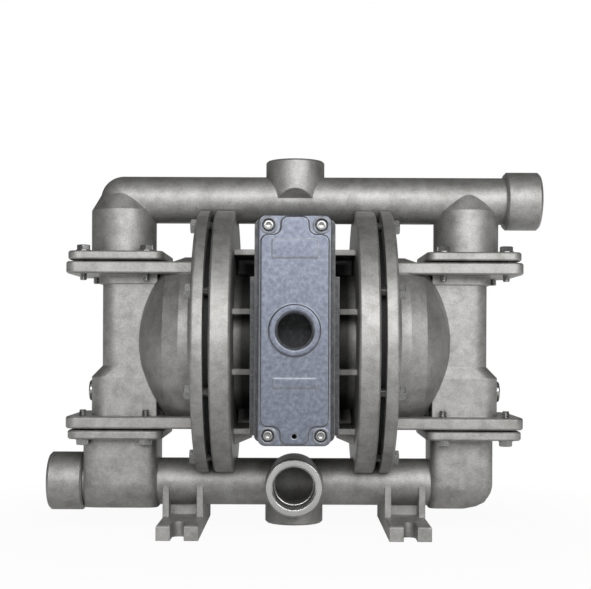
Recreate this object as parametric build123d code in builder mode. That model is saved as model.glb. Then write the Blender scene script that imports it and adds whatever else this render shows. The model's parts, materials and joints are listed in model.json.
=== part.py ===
"""Air operated double diaphragm pump in cast stainless steel, with bolted manifolds.

All sizes are in millimetres. X runs along the shaft, Z is up and -Y is the exhaust side.
The origin lies on the floor, midway between the two liquid chambers.
A side is -1 for the left half of the pump and +1 for the right half.
"""

import math
import os

from build123d import *

os.makedirs("parts", exist_ok=True)

SIDES = {"left": -1, "right": 1}

# ----------------------------------------------------------------------------
# Driving dimensions
# ----------------------------------------------------------------------------

# Main axes and joint planes
shaft_height = 208.0
column_offset = 191.0  # valve axes, each side of the centre plane
inlet_height = 52.0
discharge_height = 366.0
lower_joint_height = 113.2
upper_joint_height = 294.8
joint_gap = 2.0  # between two bolted flanges, bridged by the valve seat

# Clearances
hole_clearance = 0.15  # between a screw's shank and its hole
seat_clearance = 0.1  # between a seated piece and its recess
running_clearance = 0.05  # radial, between a shaft or spool and its bush
ball_seat_clearance = 0.1
stop_clearance = 0.3  # between a moving piece at its limit and its stop
relief_clearance = 2.0  # between the round flanges and the pipes
trim_margin = 2.0  # how far a trimming shape stands clear of what it trims

# Pipes and their ports
pipe_radius = 26.0
pipe_wall = 5.0
port_reach = 272.0  # end ports, from the centre plane
collar_radius = 32.2
collar_length = 39.0
collar_chamfer = 2.5
port_bore_radius = 22.2
port_mouth_radius = 24.0
port_thread_length = 27.0
front_port_reach = 64.0
front_boss_radius = 31.5
lower_boss_radius = 32.0
lower_boss_bottom = 7.0
upper_boss_radius = 32.5
upper_boss_top = 409.0
boss_undercut = 10.5  # height of the slope that lets a boss down to the pipe
boss_chamfer = 1.8

# Manifold necks
neck_radius = 36.0
neck_shoulder_height = 353.0  # where the discharge necks start to taper
neck_taper_angle = 30.5
neck_taper_height = 30.0
inlet_neck_radius = 34.5
tee_radius = 40.5
tee_shoulder_height = 84.0
tee_flare_height = 11.0
tee_turn_height = 54.0  # below it the tee's and the elbow's front turns under
tee_drop = 1.0  # how far the tee and the elbow stand below the pipe
inlet_elbow_offset = 184.0
inlet_elbow_corner = 28.0

# Bolted joints between manifolds and chambers
joint_width = 103.0
joint_depth = 118.0
joint_offset = 193.0  # middle of the flange, from the centre plane
joint_corner = 11.0
manifold_flange = 9.5
chamber_flange = 12.8
flange_edge = 1.5
chamber_flange_overhang = 2.0
joint_bolt_offset = 195.0
joint_bolt_spacing_x = 68.0
joint_bolt_spacing_y = 88.0
joint_bolt_radius = 4.0
joint_bolt_across_flats = 13.0
joint_bolt_head = 5.3
joint_bolt_protrusion = 7.0
washer_radius = 8.0
washer_thickness = 1.6

# Feet
foot_offset = 122.0
foot_width = 44.4
foot_depth = 186.0
foot_thickness = 16.0
foot_web = 7.0
foot_web_depth = 54.0
foot_web_top = 49.0
foot_cross_web = 10.0
foot_slot_width = 14.4
foot_slot_length = 29.0
foot_edge = 1.5

# Round clamp flanges
clamp_radius = 146.0
liquid_flange_inner = 93.0
liquid_flange_outer = 106.0
air_flange_inner = 65.0
air_flange_outer = 87.0
clamp_edge = 4.0
clamp_bolt_circle = 134.0
clamp_bolt_count = 8
clamp_bolt_radius = 5.0
clamp_bolt_across_flats = 14.5
clamp_bolt_head = 6.4
clamp_bolt_depth = 17.0  # into the air chamber's flange
clamp_spanner_radius = 10.5  # room kept round each bolt's head
clamp_spanner_room = 9.0

# Liquid chamber
dome_radius = 128.0
dome_centre = 46.0  # along the shaft, from the centre plane
dome_crease_radius = 88.0
dome_root_radius = 94.0
dome_root_length = 16.0
dome_fillet = 6.0
dome_station = 0.55  # share of the crease's radius where the dome's arc takes its third point
chamber_wall = 7.0
column_outer = 212.0
column_inner = 150.0
column_half_depth = 33.0
column_corner = 17.0
column_collar = 4.0
column_collar_height = 10.0
ball_box_outer = 223.0
ball_box_half_depth = 38.0
ball_box_top = 169.0
ball_box_slope = 12.0
column_passage_half_width = 20.0
column_passage_half_height = 40.0
plug_height = 153.0
plug_radius = 11.5
plug_head = 5.5
plug_edge = 1.8
plug_shank_radius = 8.0
plug_shank_length = 7.0

# Air chamber
drum_radius = 75.0
drum_inner = 46.0
drum_wall = 6.0
drum_back_wall = 7.0
air_cavity_slope = 8.0  # how far the cavity's outer wall leans in
rib_thickness = 6.0
rib_half_depth = 96.0
rib_circle = 112.0
rib_near = 31.5  # height of the inner ribs above and below the shaft
rib_far = 96.0
gusset_depth = 40.0
gusset_drop = 16.0
chamber_screw_circle = 50.0
chamber_screw_count = 6
chamber_screw_radius = 4.0
chamber_screw_head_radius = 6.5
chamber_screw_head = 5.0
chamber_screw_length = 14.0

# Centre block
block_half_width = 46.0
block_bottom = 112.0
block_top = 275.0
block_front = 112.0
block_back = 100.0
block_upper_half_width = 40.0
block_upper_top = 306.0
slab_half_width = 41.0
slab_inset = 3.0  # slab ends inside the plate's ends
slab_thickness = 20.0
slab_corner = 7.0
exhaust_pocket_half_width = 26.0
exhaust_pocket_height = 150.0
exhaust_pocket_depth = 60.0

# Exhaust plate
plate_centre_height = 219.5
plate_width = 74.0
plate_length = 232.0
plate_back = 129.5
plate_thickness = 12.5
plate_corner = 8.0
plate_edge = 1.2
gasket_thickness = 1.5
panel_width = 69.0
panel_length = 229.0
panel_rise = 2.5
panel_corner_length = 18.0
panel_tongue_width = 29.0
panel_round = 7.5
plate_screw_spacing_x = 53.0
plate_screw_spacing_z = 211.2
plate_screw_radius = 3.0
plate_screw_head_radius = 5.2
plate_screw_head = 6.0
plate_screw_socket = 5.0
plate_screw_length = 24.0
counterbore_radius = 6.6
counterbore_ring = 8.4
counterbore_ring_rise = 1.2
exhaust_port_height = 219.5
exhaust_ring_radius = 26.5
exhaust_ring_rise = 3.5
exhaust_ring_round = 2.1
exhaust_lip = 2.4
exhaust_bore_radius = 18.0
label_rise = 0.7
upper_label_height = 301.5
upper_label_width = 46.0
upper_label_length = 18.5
lower_label_height = 166.6
lower_label_width = 44.0
lower_label_length = 10.0
vent_height = 113.5
vent_radius = 2.5

# Valve seats and balls
ball_radius = 22.0
seat_radius = 31.0
seat_bore_radius = 17.0
seat_mouth_radius = 19.5
seat_lower_depth = 4.0  # how far a seat sinks into the piece below it
seat_upper_depth = 6.0
ball_lift = 9.0
ball_cavity_radius = 27.0
stop_hole_radius = 15.0
flow_bore_radius = 20.0
seat_seal_width = 2.6
seat_seal_height = 3.0

# Shaft and diaphragms
shaft_radius = 10.0
shaft_end = 98.0
stroke = 18.0  # each way from the middle
bush_radius = 14.0
bush_length = 20.0
shaft_seal_width = 3.0
shaft_seal_inset = 5.0
inner_plate_radius = 62.0
inner_plate_thickness = 8.0
outer_plate_radius = 70.0
outer_plate_thickness = 10.0
outer_plate_rim = 3.0
outer_hub_radius = 16.0
outer_hub_length = 8.0
diaphragm_thickness = 4.0
diaphragm_rim_radius = 125.0
diaphragm_rim_width = 13.0
diaphragm_sag = 10.0
diaphragm_centre_radius = 74.0

# Pilot spool
pilot_offset = 40.0  # above the shaft
pilot_radius = 5.0
pilot_travel = 5.0
pilot_bush_radius = 8.0
pilot_bush_length = 13.0
pilot_end_gap = 0.5  # to the diaphragm plate at the end of the stroke

# Air valve on the rear
valve_width = 76.0
valve_bottom = 132.0
valve_top = 288.0
valve_depth = 42.5
valve_corner = 6.0
valve_axis_depth = 18.0  # behind the valve body's front face
sleeve_radius = 13.0
sleeve_length = 124.0
spool_radius = 9.0
spool_groove = 3.0
spool_travel = 18.0
spool_sections = 5  # three lands and the two grooves between them
valve_cap_thickness = 9.0
valve_cap_margin = 2.0
valve_screw_radius = 3.0
valve_screw_head_radius = 5.0
valve_screw_head = 6.0
valve_screw_socket = 5.0
valve_screw_length = 16.0
valve_cap_screw_spacing_x = 54.0
valve_cap_screw_spacing_y = 28.0
body_screw_spacing_x = 60.0
body_screw_spacing_z = 120.0
valve_lug_thickness = 12.0
valve_waist_width = 50.0
air_port_height = 210.0
air_port_boss_radius = 17.0
air_port_radius = 9.3
air_port_mouth_radius = 10.6
air_port_boss_rise = 4.0
air_port_depth = 14.3
air_passage_radius = 6.0  # from the port's end to the spool

# ----------------------------------------------------------------------------
# Places worked out from the driving dimensions
# ----------------------------------------------------------------------------

lower_manifold_face = lower_joint_height - joint_gap / 2
lower_chamber_face = lower_joint_height + joint_gap / 2
upper_chamber_face = upper_joint_height - joint_gap / 2
upper_manifold_face = upper_joint_height + joint_gap / 2
lower_neck_top = lower_manifold_face - manifold_flange
upper_neck_bottom = upper_manifold_face + manifold_flange
upper_flange_bottom = upper_chamber_face - chamber_flange
pipe_bore_radius = pipe_radius - pipe_wall
plate_face = plate_back + plate_thickness
panel_face = plate_face + panel_rise
block_face = plate_back - gasket_thickness
slab_bottom = plate_centre_height - plate_length / 2 + slab_inset
slab_top = plate_centre_height + plate_length / 2 - slab_inset
valve_front = block_back + gasket_thickness
valve_axis = valve_front + valve_axis_depth
valve_rear = valve_front + valve_depth
valve_middle = (valve_bottom + valve_top) / 2
spool_length = valve_top - valve_bottom - spool_travel - 2 * stop_clearance
diaphragm_plane = (air_flange_outer + liquid_flange_inner) / 2
inner_plate_face = diaphragm_plane - diaphragm_thickness / 2
outer_plate_face = diaphragm_plane + diaphragm_thickness / 2
cavity_back = drum_inner + drum_back_wall
ball_rise = math.sqrt(ball_radius**2 - seat_mouth_radius**2)
stop_rise = math.sqrt(ball_radius**2 - stop_hole_radius**2)


def side_plane(side):
    """Upright plane through the shaft: local x runs outwards, local y is up."""
    return Plane(origin=(0, 0, shaft_height), x_dir=(side, 0, 0), z_dir=(0, -side, 0))


def upright_plane(x=0.0, y=0.0):
    """Upright plane seen from the front: local x runs along the shaft, local y is height."""
    return Plane(origin=(x, y, 0), x_dir=(1, 0, 0), z_dir=(0, -1, 0))


def shaft_axis():
    return Axis((0, 0, shaft_height), (1, 0, 0))


def upright_axis(x, y=0.0):
    return Axis((x, y, 0), (0, 0, 1))


def joint_bolt_places(side):
    """The four bolts of one manifold joint, in plan."""
    return [
        (side * joint_bolt_offset + dx, dy)
        for dx in (-joint_bolt_spacing_x / 2, joint_bolt_spacing_x / 2)
        for dy in (-joint_bolt_spacing_y / 2, joint_bolt_spacing_y / 2)
    ]


def clamp_bolt_pattern(radius):
    """Circles round the clamp bolts' axes, turned by half a step so that the top stays clear."""
    half_step = 180 / clamp_bolt_count
    with BuildSketch() as pattern:
        with PolarLocations(clamp_bolt_circle, clamp_bolt_count, start_angle=half_step):
            Circle(radius)
    return pattern.sketch


def save(piece, name):
    piece.label = name
    export_step(piece, f"parts/{name}.step")


# ----------------------------------------------------------------------------
# Manifolds
# ----------------------------------------------------------------------------


def joint_flange(side, height):
    """Manifold's side of a bolted joint, with its lower face at the height given."""
    with BuildPart() as flange:
        with BuildSketch(Plane.XY.offset(height)):
            with Locations((side * joint_offset, 0)):
                RectangleRounded(joint_width, joint_depth, joint_corner)
        extrude(amount=manifold_flange)
        chamfer(flange.faces().sort_by(Axis.Z)[-1].edges(), flange_edge)
        chamfer(flange.faces().sort_by(Axis.Z)[0].edges(), flange_edge)
        with BuildSketch(Plane.XY.offset(height)):
            with Locations(*joint_bolt_places(side)):
                Circle(joint_bolt_radius + hole_clearance)
        extrude(amount=manifold_flange, mode=Mode.SUBTRACT)
    return flange.part


def tapered_boss(radius, axis_height, mouth, direction):
    """Upright port boss, wider than its pipe, that slopes in to meet the pipe's front and rear."""
    wide = radius + trim_margin
    slope = boss_undercut / (radius - pipe_radius)
    shoulder = axis_height + direction * slope * (wide - pipe_radius)
    with BuildPart() as boss:
        with BuildSketch(Plane.YZ.offset(-wide)):
            with BuildLine():
                Polyline(
                    (-pipe_radius, axis_height),
                    (-wide, shoulder),
                    (-wide, mouth),
                    (wide, mouth),
                    (wide, shoulder),
                    (pipe_radius, axis_height),
                    close=True,
                )
            make_face()
        extrude(amount=2 * wide)
        with BuildSketch(Plane.XY.offset(axis_height)):
            Circle(radius)
        extrude(amount=mouth - axis_height, mode=Mode.INTERSECT)
        end_face = boss.faces().filter_by(Axis.Z).sort_by(Axis.Z)[-1 if direction > 0 else 0]
        chamfer(end_face.edges(), boss_chamfer)
    return boss.part


def end_collar(side, axis_height):
    """Thick collar round an end port."""
    with BuildPart() as collar:
        with BuildSketch(Plane.YZ.offset(side * port_reach)):
            with Locations((0, axis_height)):
                Circle(collar_radius)
        extrude(amount=-side * collar_length)
        chamfer(collar.edges().filter_by(GeomType.CIRCLE), collar_chamfer)
    return collar.part


def port_cutter(face_plane, axis_length):
    """Chamfered mouth, threaded length and pipe bore, cut inwards from a face."""
    mouth_depth = port_mouth_radius - port_bore_radius
    with BuildPart() as cutter:
        with BuildSketch(face_plane):
            Circle(port_mouth_radius)
        extrude(amount=-mouth_depth, taper=45)
        with BuildSketch(face_plane):
            Circle(port_bore_radius)
        extrude(amount=-port_thread_length)
        with BuildSketch(face_plane):
            Circle(pipe_bore_radius)
        extrude(amount=-axis_length)
    return cutter.part


def discharge_neck(side):
    """Upright neck with a tapered crown, below one end of the discharge pipe."""
    taper_run = neck_taper_height * math.tan(math.radians(neck_taper_angle))
    with BuildPart() as neck:
        with BuildSketch(upright_plane(side * column_offset)):
            with BuildLine():
                Polyline(
                    (0, upper_neck_bottom),
                    (neck_radius, upper_neck_bottom),
                    (neck_radius, neck_shoulder_height),
                    (neck_radius - taper_run, neck_shoulder_height + neck_taper_height),
                    (0, neck_shoulder_height + neck_taper_height),
                    close=True,
                )
            make_face()
        revolve(axis=upright_axis(side * column_offset))
    return neck.part


def ball_cage_cutter(side, seat_top):
    """Room for a ball above its seat, up to the edge that stops it, and the bore above."""
    stop_height = seat_top + ball_rise + ball_lift + stop_rise + stop_clearance
    with BuildPart() as cutter:
        with BuildSketch(Plane.XY.offset(seat_top)):
            with Locations((side * column_offset, 0)):
                Circle(ball_cavity_radius)
        extrude(amount=stop_height - seat_top)
    return cutter.part, stop_height


def build_discharge_manifold():
    seat_top = upper_manifold_face + seat_upper_depth
    boss = tapered_boss(upper_boss_radius, discharge_height, upper_boss_top, 1)
    top_port = port_cutter(Plane.XY.offset(upper_boss_top), upper_boss_top - discharge_height)
    end_plane = Plane(origin=(port_reach, 0, discharge_height), z_dir=(1, 0, 0))
    end_port = port_cutter(end_plane, port_reach + column_offset)
    arc_rise = pipe_radius * math.sqrt(0.5)
    with BuildPart() as manifold:
        with BuildSketch(upright_plane()):
            with BuildLine():
                ThreePointArc(
                    (-column_offset - pipe_radius, discharge_height),
                    (-column_offset - arc_rise, discharge_height + arc_rise),
                    (-column_offset, discharge_height + pipe_radius),
                )
                Polyline(
                    (-column_offset, discharge_height + pipe_radius),
                    (port_reach - collar_length / 2, discharge_height + pipe_radius),
                    (port_reach - collar_length / 2, discharge_height),
                    (-column_offset - pipe_radius, discharge_height),
                )
            make_face()
        revolve(axis=Axis((0, 0, discharge_height), (1, 0, 0)))
        add(end_collar(1, discharge_height))
        add(boss)
        for side in SIDES.values():
            add(discharge_neck(side))
            add(joint_flange(side, upper_manifold_face))
        add(end_port, mode=Mode.SUBTRACT)
        add(top_port, mode=Mode.SUBTRACT)
        for side in SIDES.values():
            cage, stop_height = ball_cage_cutter(side, seat_top)
            add(cage, mode=Mode.SUBTRACT)
            with BuildSketch(Plane.XY.offset(stop_height)):
                with Locations((side * column_offset, 0)):
                    Circle(stop_hole_radius)
            extrude(amount=discharge_height - stop_height, mode=Mode.SUBTRACT)
            with BuildSketch(Plane.XY.offset(upper_manifold_face)):
                with Locations((side * column_offset, 0)):
                    Circle(seat_radius + seat_clearance)
            extrude(amount=seat_upper_depth, mode=Mode.SUBTRACT)
    return manifold.part


def underturned_profile(centre, radius):
    """Block round an upright body, whose front and rear turn under to the pipe's bottom."""
    bottom = inlet_height - pipe_radius - tee_drop
    half_width = radius + trim_margin
    with BuildPart() as block:
        with BuildSketch(Plane.YZ.offset(centre - half_width)):
            with BuildLine():
                ThreePointArc((-half_width, tee_turn_height), (0, bottom), (half_width, tee_turn_height))
                Polyline(
                    (half_width, tee_turn_height),
                    (half_width, lower_manifold_face),
                    (-half_width, lower_manifold_face),
                    (-half_width, tee_turn_height),
                )
            make_face()
        extrude(amount=2 * half_width)
    return block.part


def inlet_tee():
    """Wide body between the left end port and the left inlet neck."""
    bottom = inlet_height - pipe_radius - tee_drop
    shell = underturned_profile(-column_offset, tee_radius)
    with BuildPart() as tee:
        with BuildSketch(upright_plane(-column_offset)):
            with BuildLine():
                Polyline(
                    (0, bottom),
                    (tee_radius, bottom),
                    (tee_radius, tee_shoulder_height),
                    (inlet_neck_radius, tee_shoulder_height + tee_flare_height),
                    (inlet_neck_radius, lower_neck_top),
                    (0, lower_neck_top),
                    close=True,
                )
            make_face()
        revolve(axis=upright_axis(-column_offset))
        add(shell, mode=Mode.INTERSECT)
    return tee.part


def inlet_elbow():
    """Elbow at the closed end of the inlet pipe, rounded at its outer corner."""
    bottom = inlet_height - pipe_radius - tee_drop
    shell = underturned_profile(inlet_elbow_offset, inlet_neck_radius)
    outer = inlet_elbow_offset + inlet_neck_radius
    inner = inlet_elbow_offset - inlet_neck_radius - trim_margin
    half_depth = inlet_neck_radius + trim_margin
    corner_rise = inlet_elbow_corner * (1 - math.sqrt(0.5))
    with BuildPart() as elbow:
        with BuildSketch(Plane.XY.offset(bottom)):
            with Locations((inlet_elbow_offset, 0)):
                Circle(inlet_neck_radius)
        extrude(amount=lower_neck_top - bottom)
        add(shell, mode=Mode.INTERSECT)
        with BuildSketch(upright_plane(0, half_depth)):
            with BuildLine():
                Polyline(
                    (outer, bottom + inlet_elbow_corner),
                    (outer, lower_neck_top),
                    (inner, lower_neck_top),
                    (inner, bottom),
                    (outer - inlet_elbow_corner, bottom),
                )
                ThreePointArc(
                    (outer - inlet_elbow_corner, bottom),
                    (outer - corner_rise, bottom + corner_rise),
                    (outer, bottom + inlet_elbow_corner),
                )
            make_face()
        extrude(amount=2 * half_depth, mode=Mode.INTERSECT)
    return elbow.part


def foot(side):
    """Slotted foot pad with its two side webs and the cross web under the pipe."""
    centre = side * foot_offset
    slot_reach = foot_depth / 2 - foot_slot_length + foot_slot_width / 2
    web_shift = (foot_width - foot_web) / 2
    with BuildPart() as pad:
        with BuildSketch():
            with Locations((centre, 0)):
                Rectangle(foot_width, foot_depth)
        extrude(amount=foot_thickness)
        chamfer(pad.faces().sort_by(Axis.Z)[-1].edges(), foot_edge)
        with BuildSketch():
            for end in SIDES.values():
                with Locations((centre, end * slot_reach)):
                    Circle(foot_slot_width / 2)
                with Locations((centre, end * (slot_reach + foot_slot_length / 2))):
                    Rectangle(foot_slot_width, foot_slot_length)
        extrude(amount=foot_thickness, mode=Mode.SUBTRACT)
        with BuildSketch(Plane.XY.offset(foot_thickness / 2)):
            with Locations((centre - web_shift, 0), (centre + web_shift, 0)):
                Rectangle(foot_web, foot_web_depth)
        extrude(amount=foot_web_top - foot_thickness / 2)
        with BuildSketch(Plane.XY.offset(foot_thickness / 2)):
            with Locations((centre, 0)):
                Rectangle(foot_width - foot_web, foot_cross_web)
        extrude(amount=inlet_height - pipe_bore_radius - foot_thickness / 2 - pipe_wall / 2)
    return pad.part


def build_inlet_manifold():
    boss = tapered_boss(lower_boss_radius, inlet_height, lower_boss_bottom, -1)
    end_plane = Plane(origin=(-port_reach, 0, inlet_height), z_dir=(-1, 0, 0))
    end_port = port_cutter(end_plane, port_reach + column_offset)
    front_plane = Plane(origin=(0, -front_port_reach, inlet_height), z_dir=(0, -1, 0))
    front_port = port_cutter(front_plane, front_port_reach)
    seat_bottom = lower_manifold_face - seat_lower_depth
    with BuildPart() as manifold:
        with BuildSketch(Plane.YZ.offset(-port_reach + collar_length / 2)):
            with Locations((0, inlet_height)):
                Circle(pipe_radius)
        extrude(amount=port_reach - collar_length / 2 + inlet_elbow_offset)
        add(end_collar(-1, inlet_height))
        add(inlet_tee())
        add(inlet_elbow())
        add(boss)
        with BuildSketch(upright_plane(0, -front_port_reach)):
            with Locations((0, inlet_height)):
                Circle(front_boss_radius)
        extrude(amount=-front_port_reach)
        chamfer(
            manifold.faces().sort_by(Axis.Y)[0].edges().filter_by(GeomType.CIRCLE),
            boss_chamfer,
        )
        for side in SIDES.values():
            add(joint_flange(side, lower_neck_top))
            add(foot(side))
        add(end_port, mode=Mode.SUBTRACT)
        add(front_port, mode=Mode.SUBTRACT)
        for side in SIDES.values():
            with BuildSketch(Plane.XY.offset(inlet_height)):
                with Locations((side * column_offset, 0)):
                    Circle(flow_bore_radius)
            extrude(amount=lower_manifold_face - inlet_height, mode=Mode.SUBTRACT)
            with BuildSketch(Plane.XY.offset(seat_bottom)):
                with Locations((side * column_offset, 0)):
                    Circle(seat_radius + seat_clearance)
            extrude(amount=seat_lower_depth, mode=Mode.SUBTRACT)
    return manifold.part


# ----------------------------------------------------------------------------
# Liquid chambers
# ----------------------------------------------------------------------------


def dome_surface(radius):
    """Where the dome of the given radius reaches, along the shaft, at a distance from the axis."""
    return lambda distance: dome_centre + math.sqrt(radius**2 - distance**2)


def chamber_body(side):
    """Round clamp flange and the dome that springs from it, as one turned shape."""
    reach = dome_surface(dome_radius)
    mid = dome_crease_radius * dome_station
    root = liquid_flange_outer + dome_root_length
    with BuildPart() as body:
        with BuildSketch(side_plane(side)):
            with BuildLine():
                Polyline(
                    (liquid_flange_inner, 0),
                    (liquid_flange_inner, clamp_radius),
                    (liquid_flange_outer, clamp_radius),
                    (liquid_flange_outer, dome_root_radius + dome_fillet),
                    (liquid_flange_outer + dome_fillet, dome_root_radius),
                    (root, dome_root_radius),
                    (reach(dome_crease_radius), dome_crease_radius),
                )
                ThreePointArc(
                    (reach(dome_crease_radius), dome_crease_radius),
                    (reach(mid), mid),
                    (reach(0), 0),
                )
                Line((reach(0), 0), (liquid_flange_inner, 0))
            make_face()
        revolve(axis=shaft_axis())
        rim = body.edges().filter_by(GeomType.CIRCLE).group_by(SortBy.RADIUS)[-1]
        fillet(rim.sort_by(Axis.X)[-1 if side > 0 else 0], clamp_edge)
    return body.part


def chamber_cavity(side):
    """Hollow of the liquid chamber, with room for the diaphragm plate's stroke."""
    reach = dome_surface(dome_radius - chamber_wall)
    crease = dome_crease_radius - chamber_wall
    root_radius = dome_root_radius - chamber_wall
    root = liquid_flange_outer - chamber_wall / 2
    rim = diaphragm_rim_radius - diaphragm_rim_width
    mid = crease * dome_station
    with BuildPart() as cavity:
        with BuildSketch(side_plane(side)):
            with BuildLine():
                Polyline(
                    (liquid_flange_inner, 0),
                    (liquid_flange_inner, rim),
                    (root, root_radius),
                    (root + dome_root_length, root_radius),
                    (reach(crease), crease),
                )
                ThreePointArc((reach(crease), crease), (reach(mid), mid), (reach(0), 0))
                Line((reach(0), 0), (liquid_flange_inner, 0))
            make_face()
        revolve(axis=shaft_axis())
    return cavity.part


def column_section(side, outer, half_depth):
    """Plan of the upright column, rounded at its two outer corners."""
    with BuildSketch() as section:
        with BuildLine():
            FilletPolyline(
                (side * column_inner, -half_depth),
                (side * outer, -half_depth),
                (side * outer, half_depth),
                (side * column_inner, half_depth),
                radius=column_corner,
            )
            Line((side * column_inner, half_depth), (side * column_inner, -half_depth))
        make_face()
    return section.sketch


def chamber_flange_plan(side):
    """Plan of a chamber's bolted flange, which runs in to the round clamp flange."""
    outer = joint_offset + joint_width / 2 + chamber_flange_overhang
    half_depth = joint_depth / 2 + chamber_flange_overhang / 2
    inner = (liquid_flange_inner + liquid_flange_outer) / 2
    with BuildSketch() as plan:
        with BuildLine():
            FilletPolyline(
                (side * inner, -half_depth),
                (side * outer, -half_depth),
                (side * outer, half_depth),
                (side * inner, half_depth),
                radius=joint_corner,
            )
            Line((side * inner, half_depth), (side * inner, -half_depth))
        make_face()
    return plan.sketch


def chamber_flange_plate(side, height):
    """One bolted flange of a liquid chamber, with its outer edges broken."""
    with BuildPart() as plate:
        with BuildSketch(Plane.XY.offset(height)):
            add(chamber_flange_plan(side))
        extrude(amount=chamber_flange)
        inner_face = plate.faces().sort_by(Axis.X)[0 if side > 0 else -1]
        for level in (0, -1):
            rim = plate.faces().filter_by(Axis.Z).sort_by(Axis.Z)[level].edges()
            chamfer(rim - inner_face.edges(), flange_edge)
        # room for a spanner on the clamp bolts, where a flange stands near them
        with BuildSketch(Plane.YZ.offset(side * liquid_flange_outer)):
            with Locations((0, shaft_height)):
                add(clamp_bolt_pattern(clamp_spanner_radius))
        extrude(amount=side * clamp_spanner_room, mode=Mode.SUBTRACT)
    return plate.part


def pipe_relief(axis_height):
    """Room for a pipe across the round flanges."""
    with BuildPart() as relief:
        with BuildSketch(Plane.YZ.offset(-port_reach)):
            with Locations((0, axis_height)):
                Circle(pipe_radius + relief_clearance)
        extrude(amount=2 * port_reach)
    return relief.part


def build_liquid_chamber(side):
    seat_top = lower_chamber_face + seat_upper_depth
    cage, stop_height = ball_cage_cutter(side, seat_top)
    body = chamber_body(side)
    cavity = chamber_cavity(side)
    lower_plate = chamber_flange_plate(side, lower_chamber_face)
    upper_plate = chamber_flange_plate(side, upper_flange_bottom)
    window_reach = dome_surface(dome_radius - chamber_wall)(column_passage_half_height)
    window_outer = column_outer - chamber_wall
    with BuildPart() as chamber:
        add(body)
        with BuildSketch(Plane.XY.offset(ball_box_top)):
            add(column_section(side, column_outer, column_half_depth))
        extrude(amount=upper_chamber_face - chamber_flange / 2 - ball_box_top)
        with BuildSketch(Plane.XY.offset(upper_flange_bottom - column_collar_height)):
            add(column_section(side, column_outer + column_collar, column_half_depth + column_collar / 2))
        extrude(amount=column_collar_height + chamber_flange / 2)
        with BuildSketch(Plane.XY.offset(lower_chamber_face + chamber_flange / 2)):
            add(column_section(side, ball_box_outer, ball_box_half_depth))
        extrude(amount=ball_box_top - lower_chamber_face - chamber_flange / 2)
        with BuildSketch(Plane.XY.offset(ball_box_top)):
            add(column_section(side, ball_box_outer, ball_box_half_depth))
        with BuildSketch(Plane.XY.offset(ball_box_top + ball_box_slope)):
            add(column_section(side, column_outer, column_half_depth))
        loft()
        add(lower_plate)
        add(upper_plate)
        # hollow, ball cage, flow window and bores
        add(cavity, mode=Mode.SUBTRACT)
        add(cage, mode=Mode.SUBTRACT)
        with BuildSketch(Plane.XY.offset(lower_chamber_face)):
            with Locations((side * column_offset, 0)):
                Circle(seat_radius + seat_clearance)
        extrude(amount=seat_upper_depth, mode=Mode.SUBTRACT)
        with BuildSketch(Plane.XY.offset(stop_height)):
            with Locations((side * column_offset, 0)):
                Circle(stop_hole_radius)
        extrude(amount=upper_chamber_face - stop_height, mode=Mode.SUBTRACT)
        with BuildSketch(Plane.YZ.offset(side * window_reach)):
            with Locations((0, shaft_height)):
                Rectangle(2 * column_passage_half_width, 2 * column_passage_half_height)
        extrude(amount=side * (window_outer - window_reach), mode=Mode.SUBTRACT)
        with BuildSketch(Plane.XY.offset(upper_chamber_face)):
            with Locations((side * column_offset, 0)):
                Circle(seat_radius + seat_clearance)
        extrude(amount=-seat_lower_depth, mode=Mode.SUBTRACT)
        # bolt holes
        for height in (lower_chamber_face, upper_flange_bottom):
            with BuildSketch(Plane.XY.offset(height)):
                with Locations(*joint_bolt_places(side)):
                    Circle(joint_bolt_radius + hole_clearance)
            extrude(amount=chamber_flange, mode=Mode.SUBTRACT)
        with BuildSketch(Plane.YZ.offset(side * liquid_flange_inner)):
            with Locations((0, shaft_height)):
                add(clamp_bolt_pattern(clamp_bolt_radius + hole_clearance))
        extrude(amount=side * (liquid_flange_outer - liquid_flange_inner), mode=Mode.SUBTRACT)
        with BuildSketch(Plane.YZ.offset(side * ball_box_outer)):
            with Locations((0, plug_height)):
                Circle(plug_shank_radius + hole_clearance)
        extrude(amount=-side * plug_shank_length, mode=Mode.SUBTRACT)
        add(pipe_relief(discharge_height), mode=Mode.SUBTRACT)
        add(pipe_relief(inlet_height), mode=Mode.SUBTRACT)
    return chamber.part


# ----------------------------------------------------------------------------
# Air chambers and centre block
# ----------------------------------------------------------------------------


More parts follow.
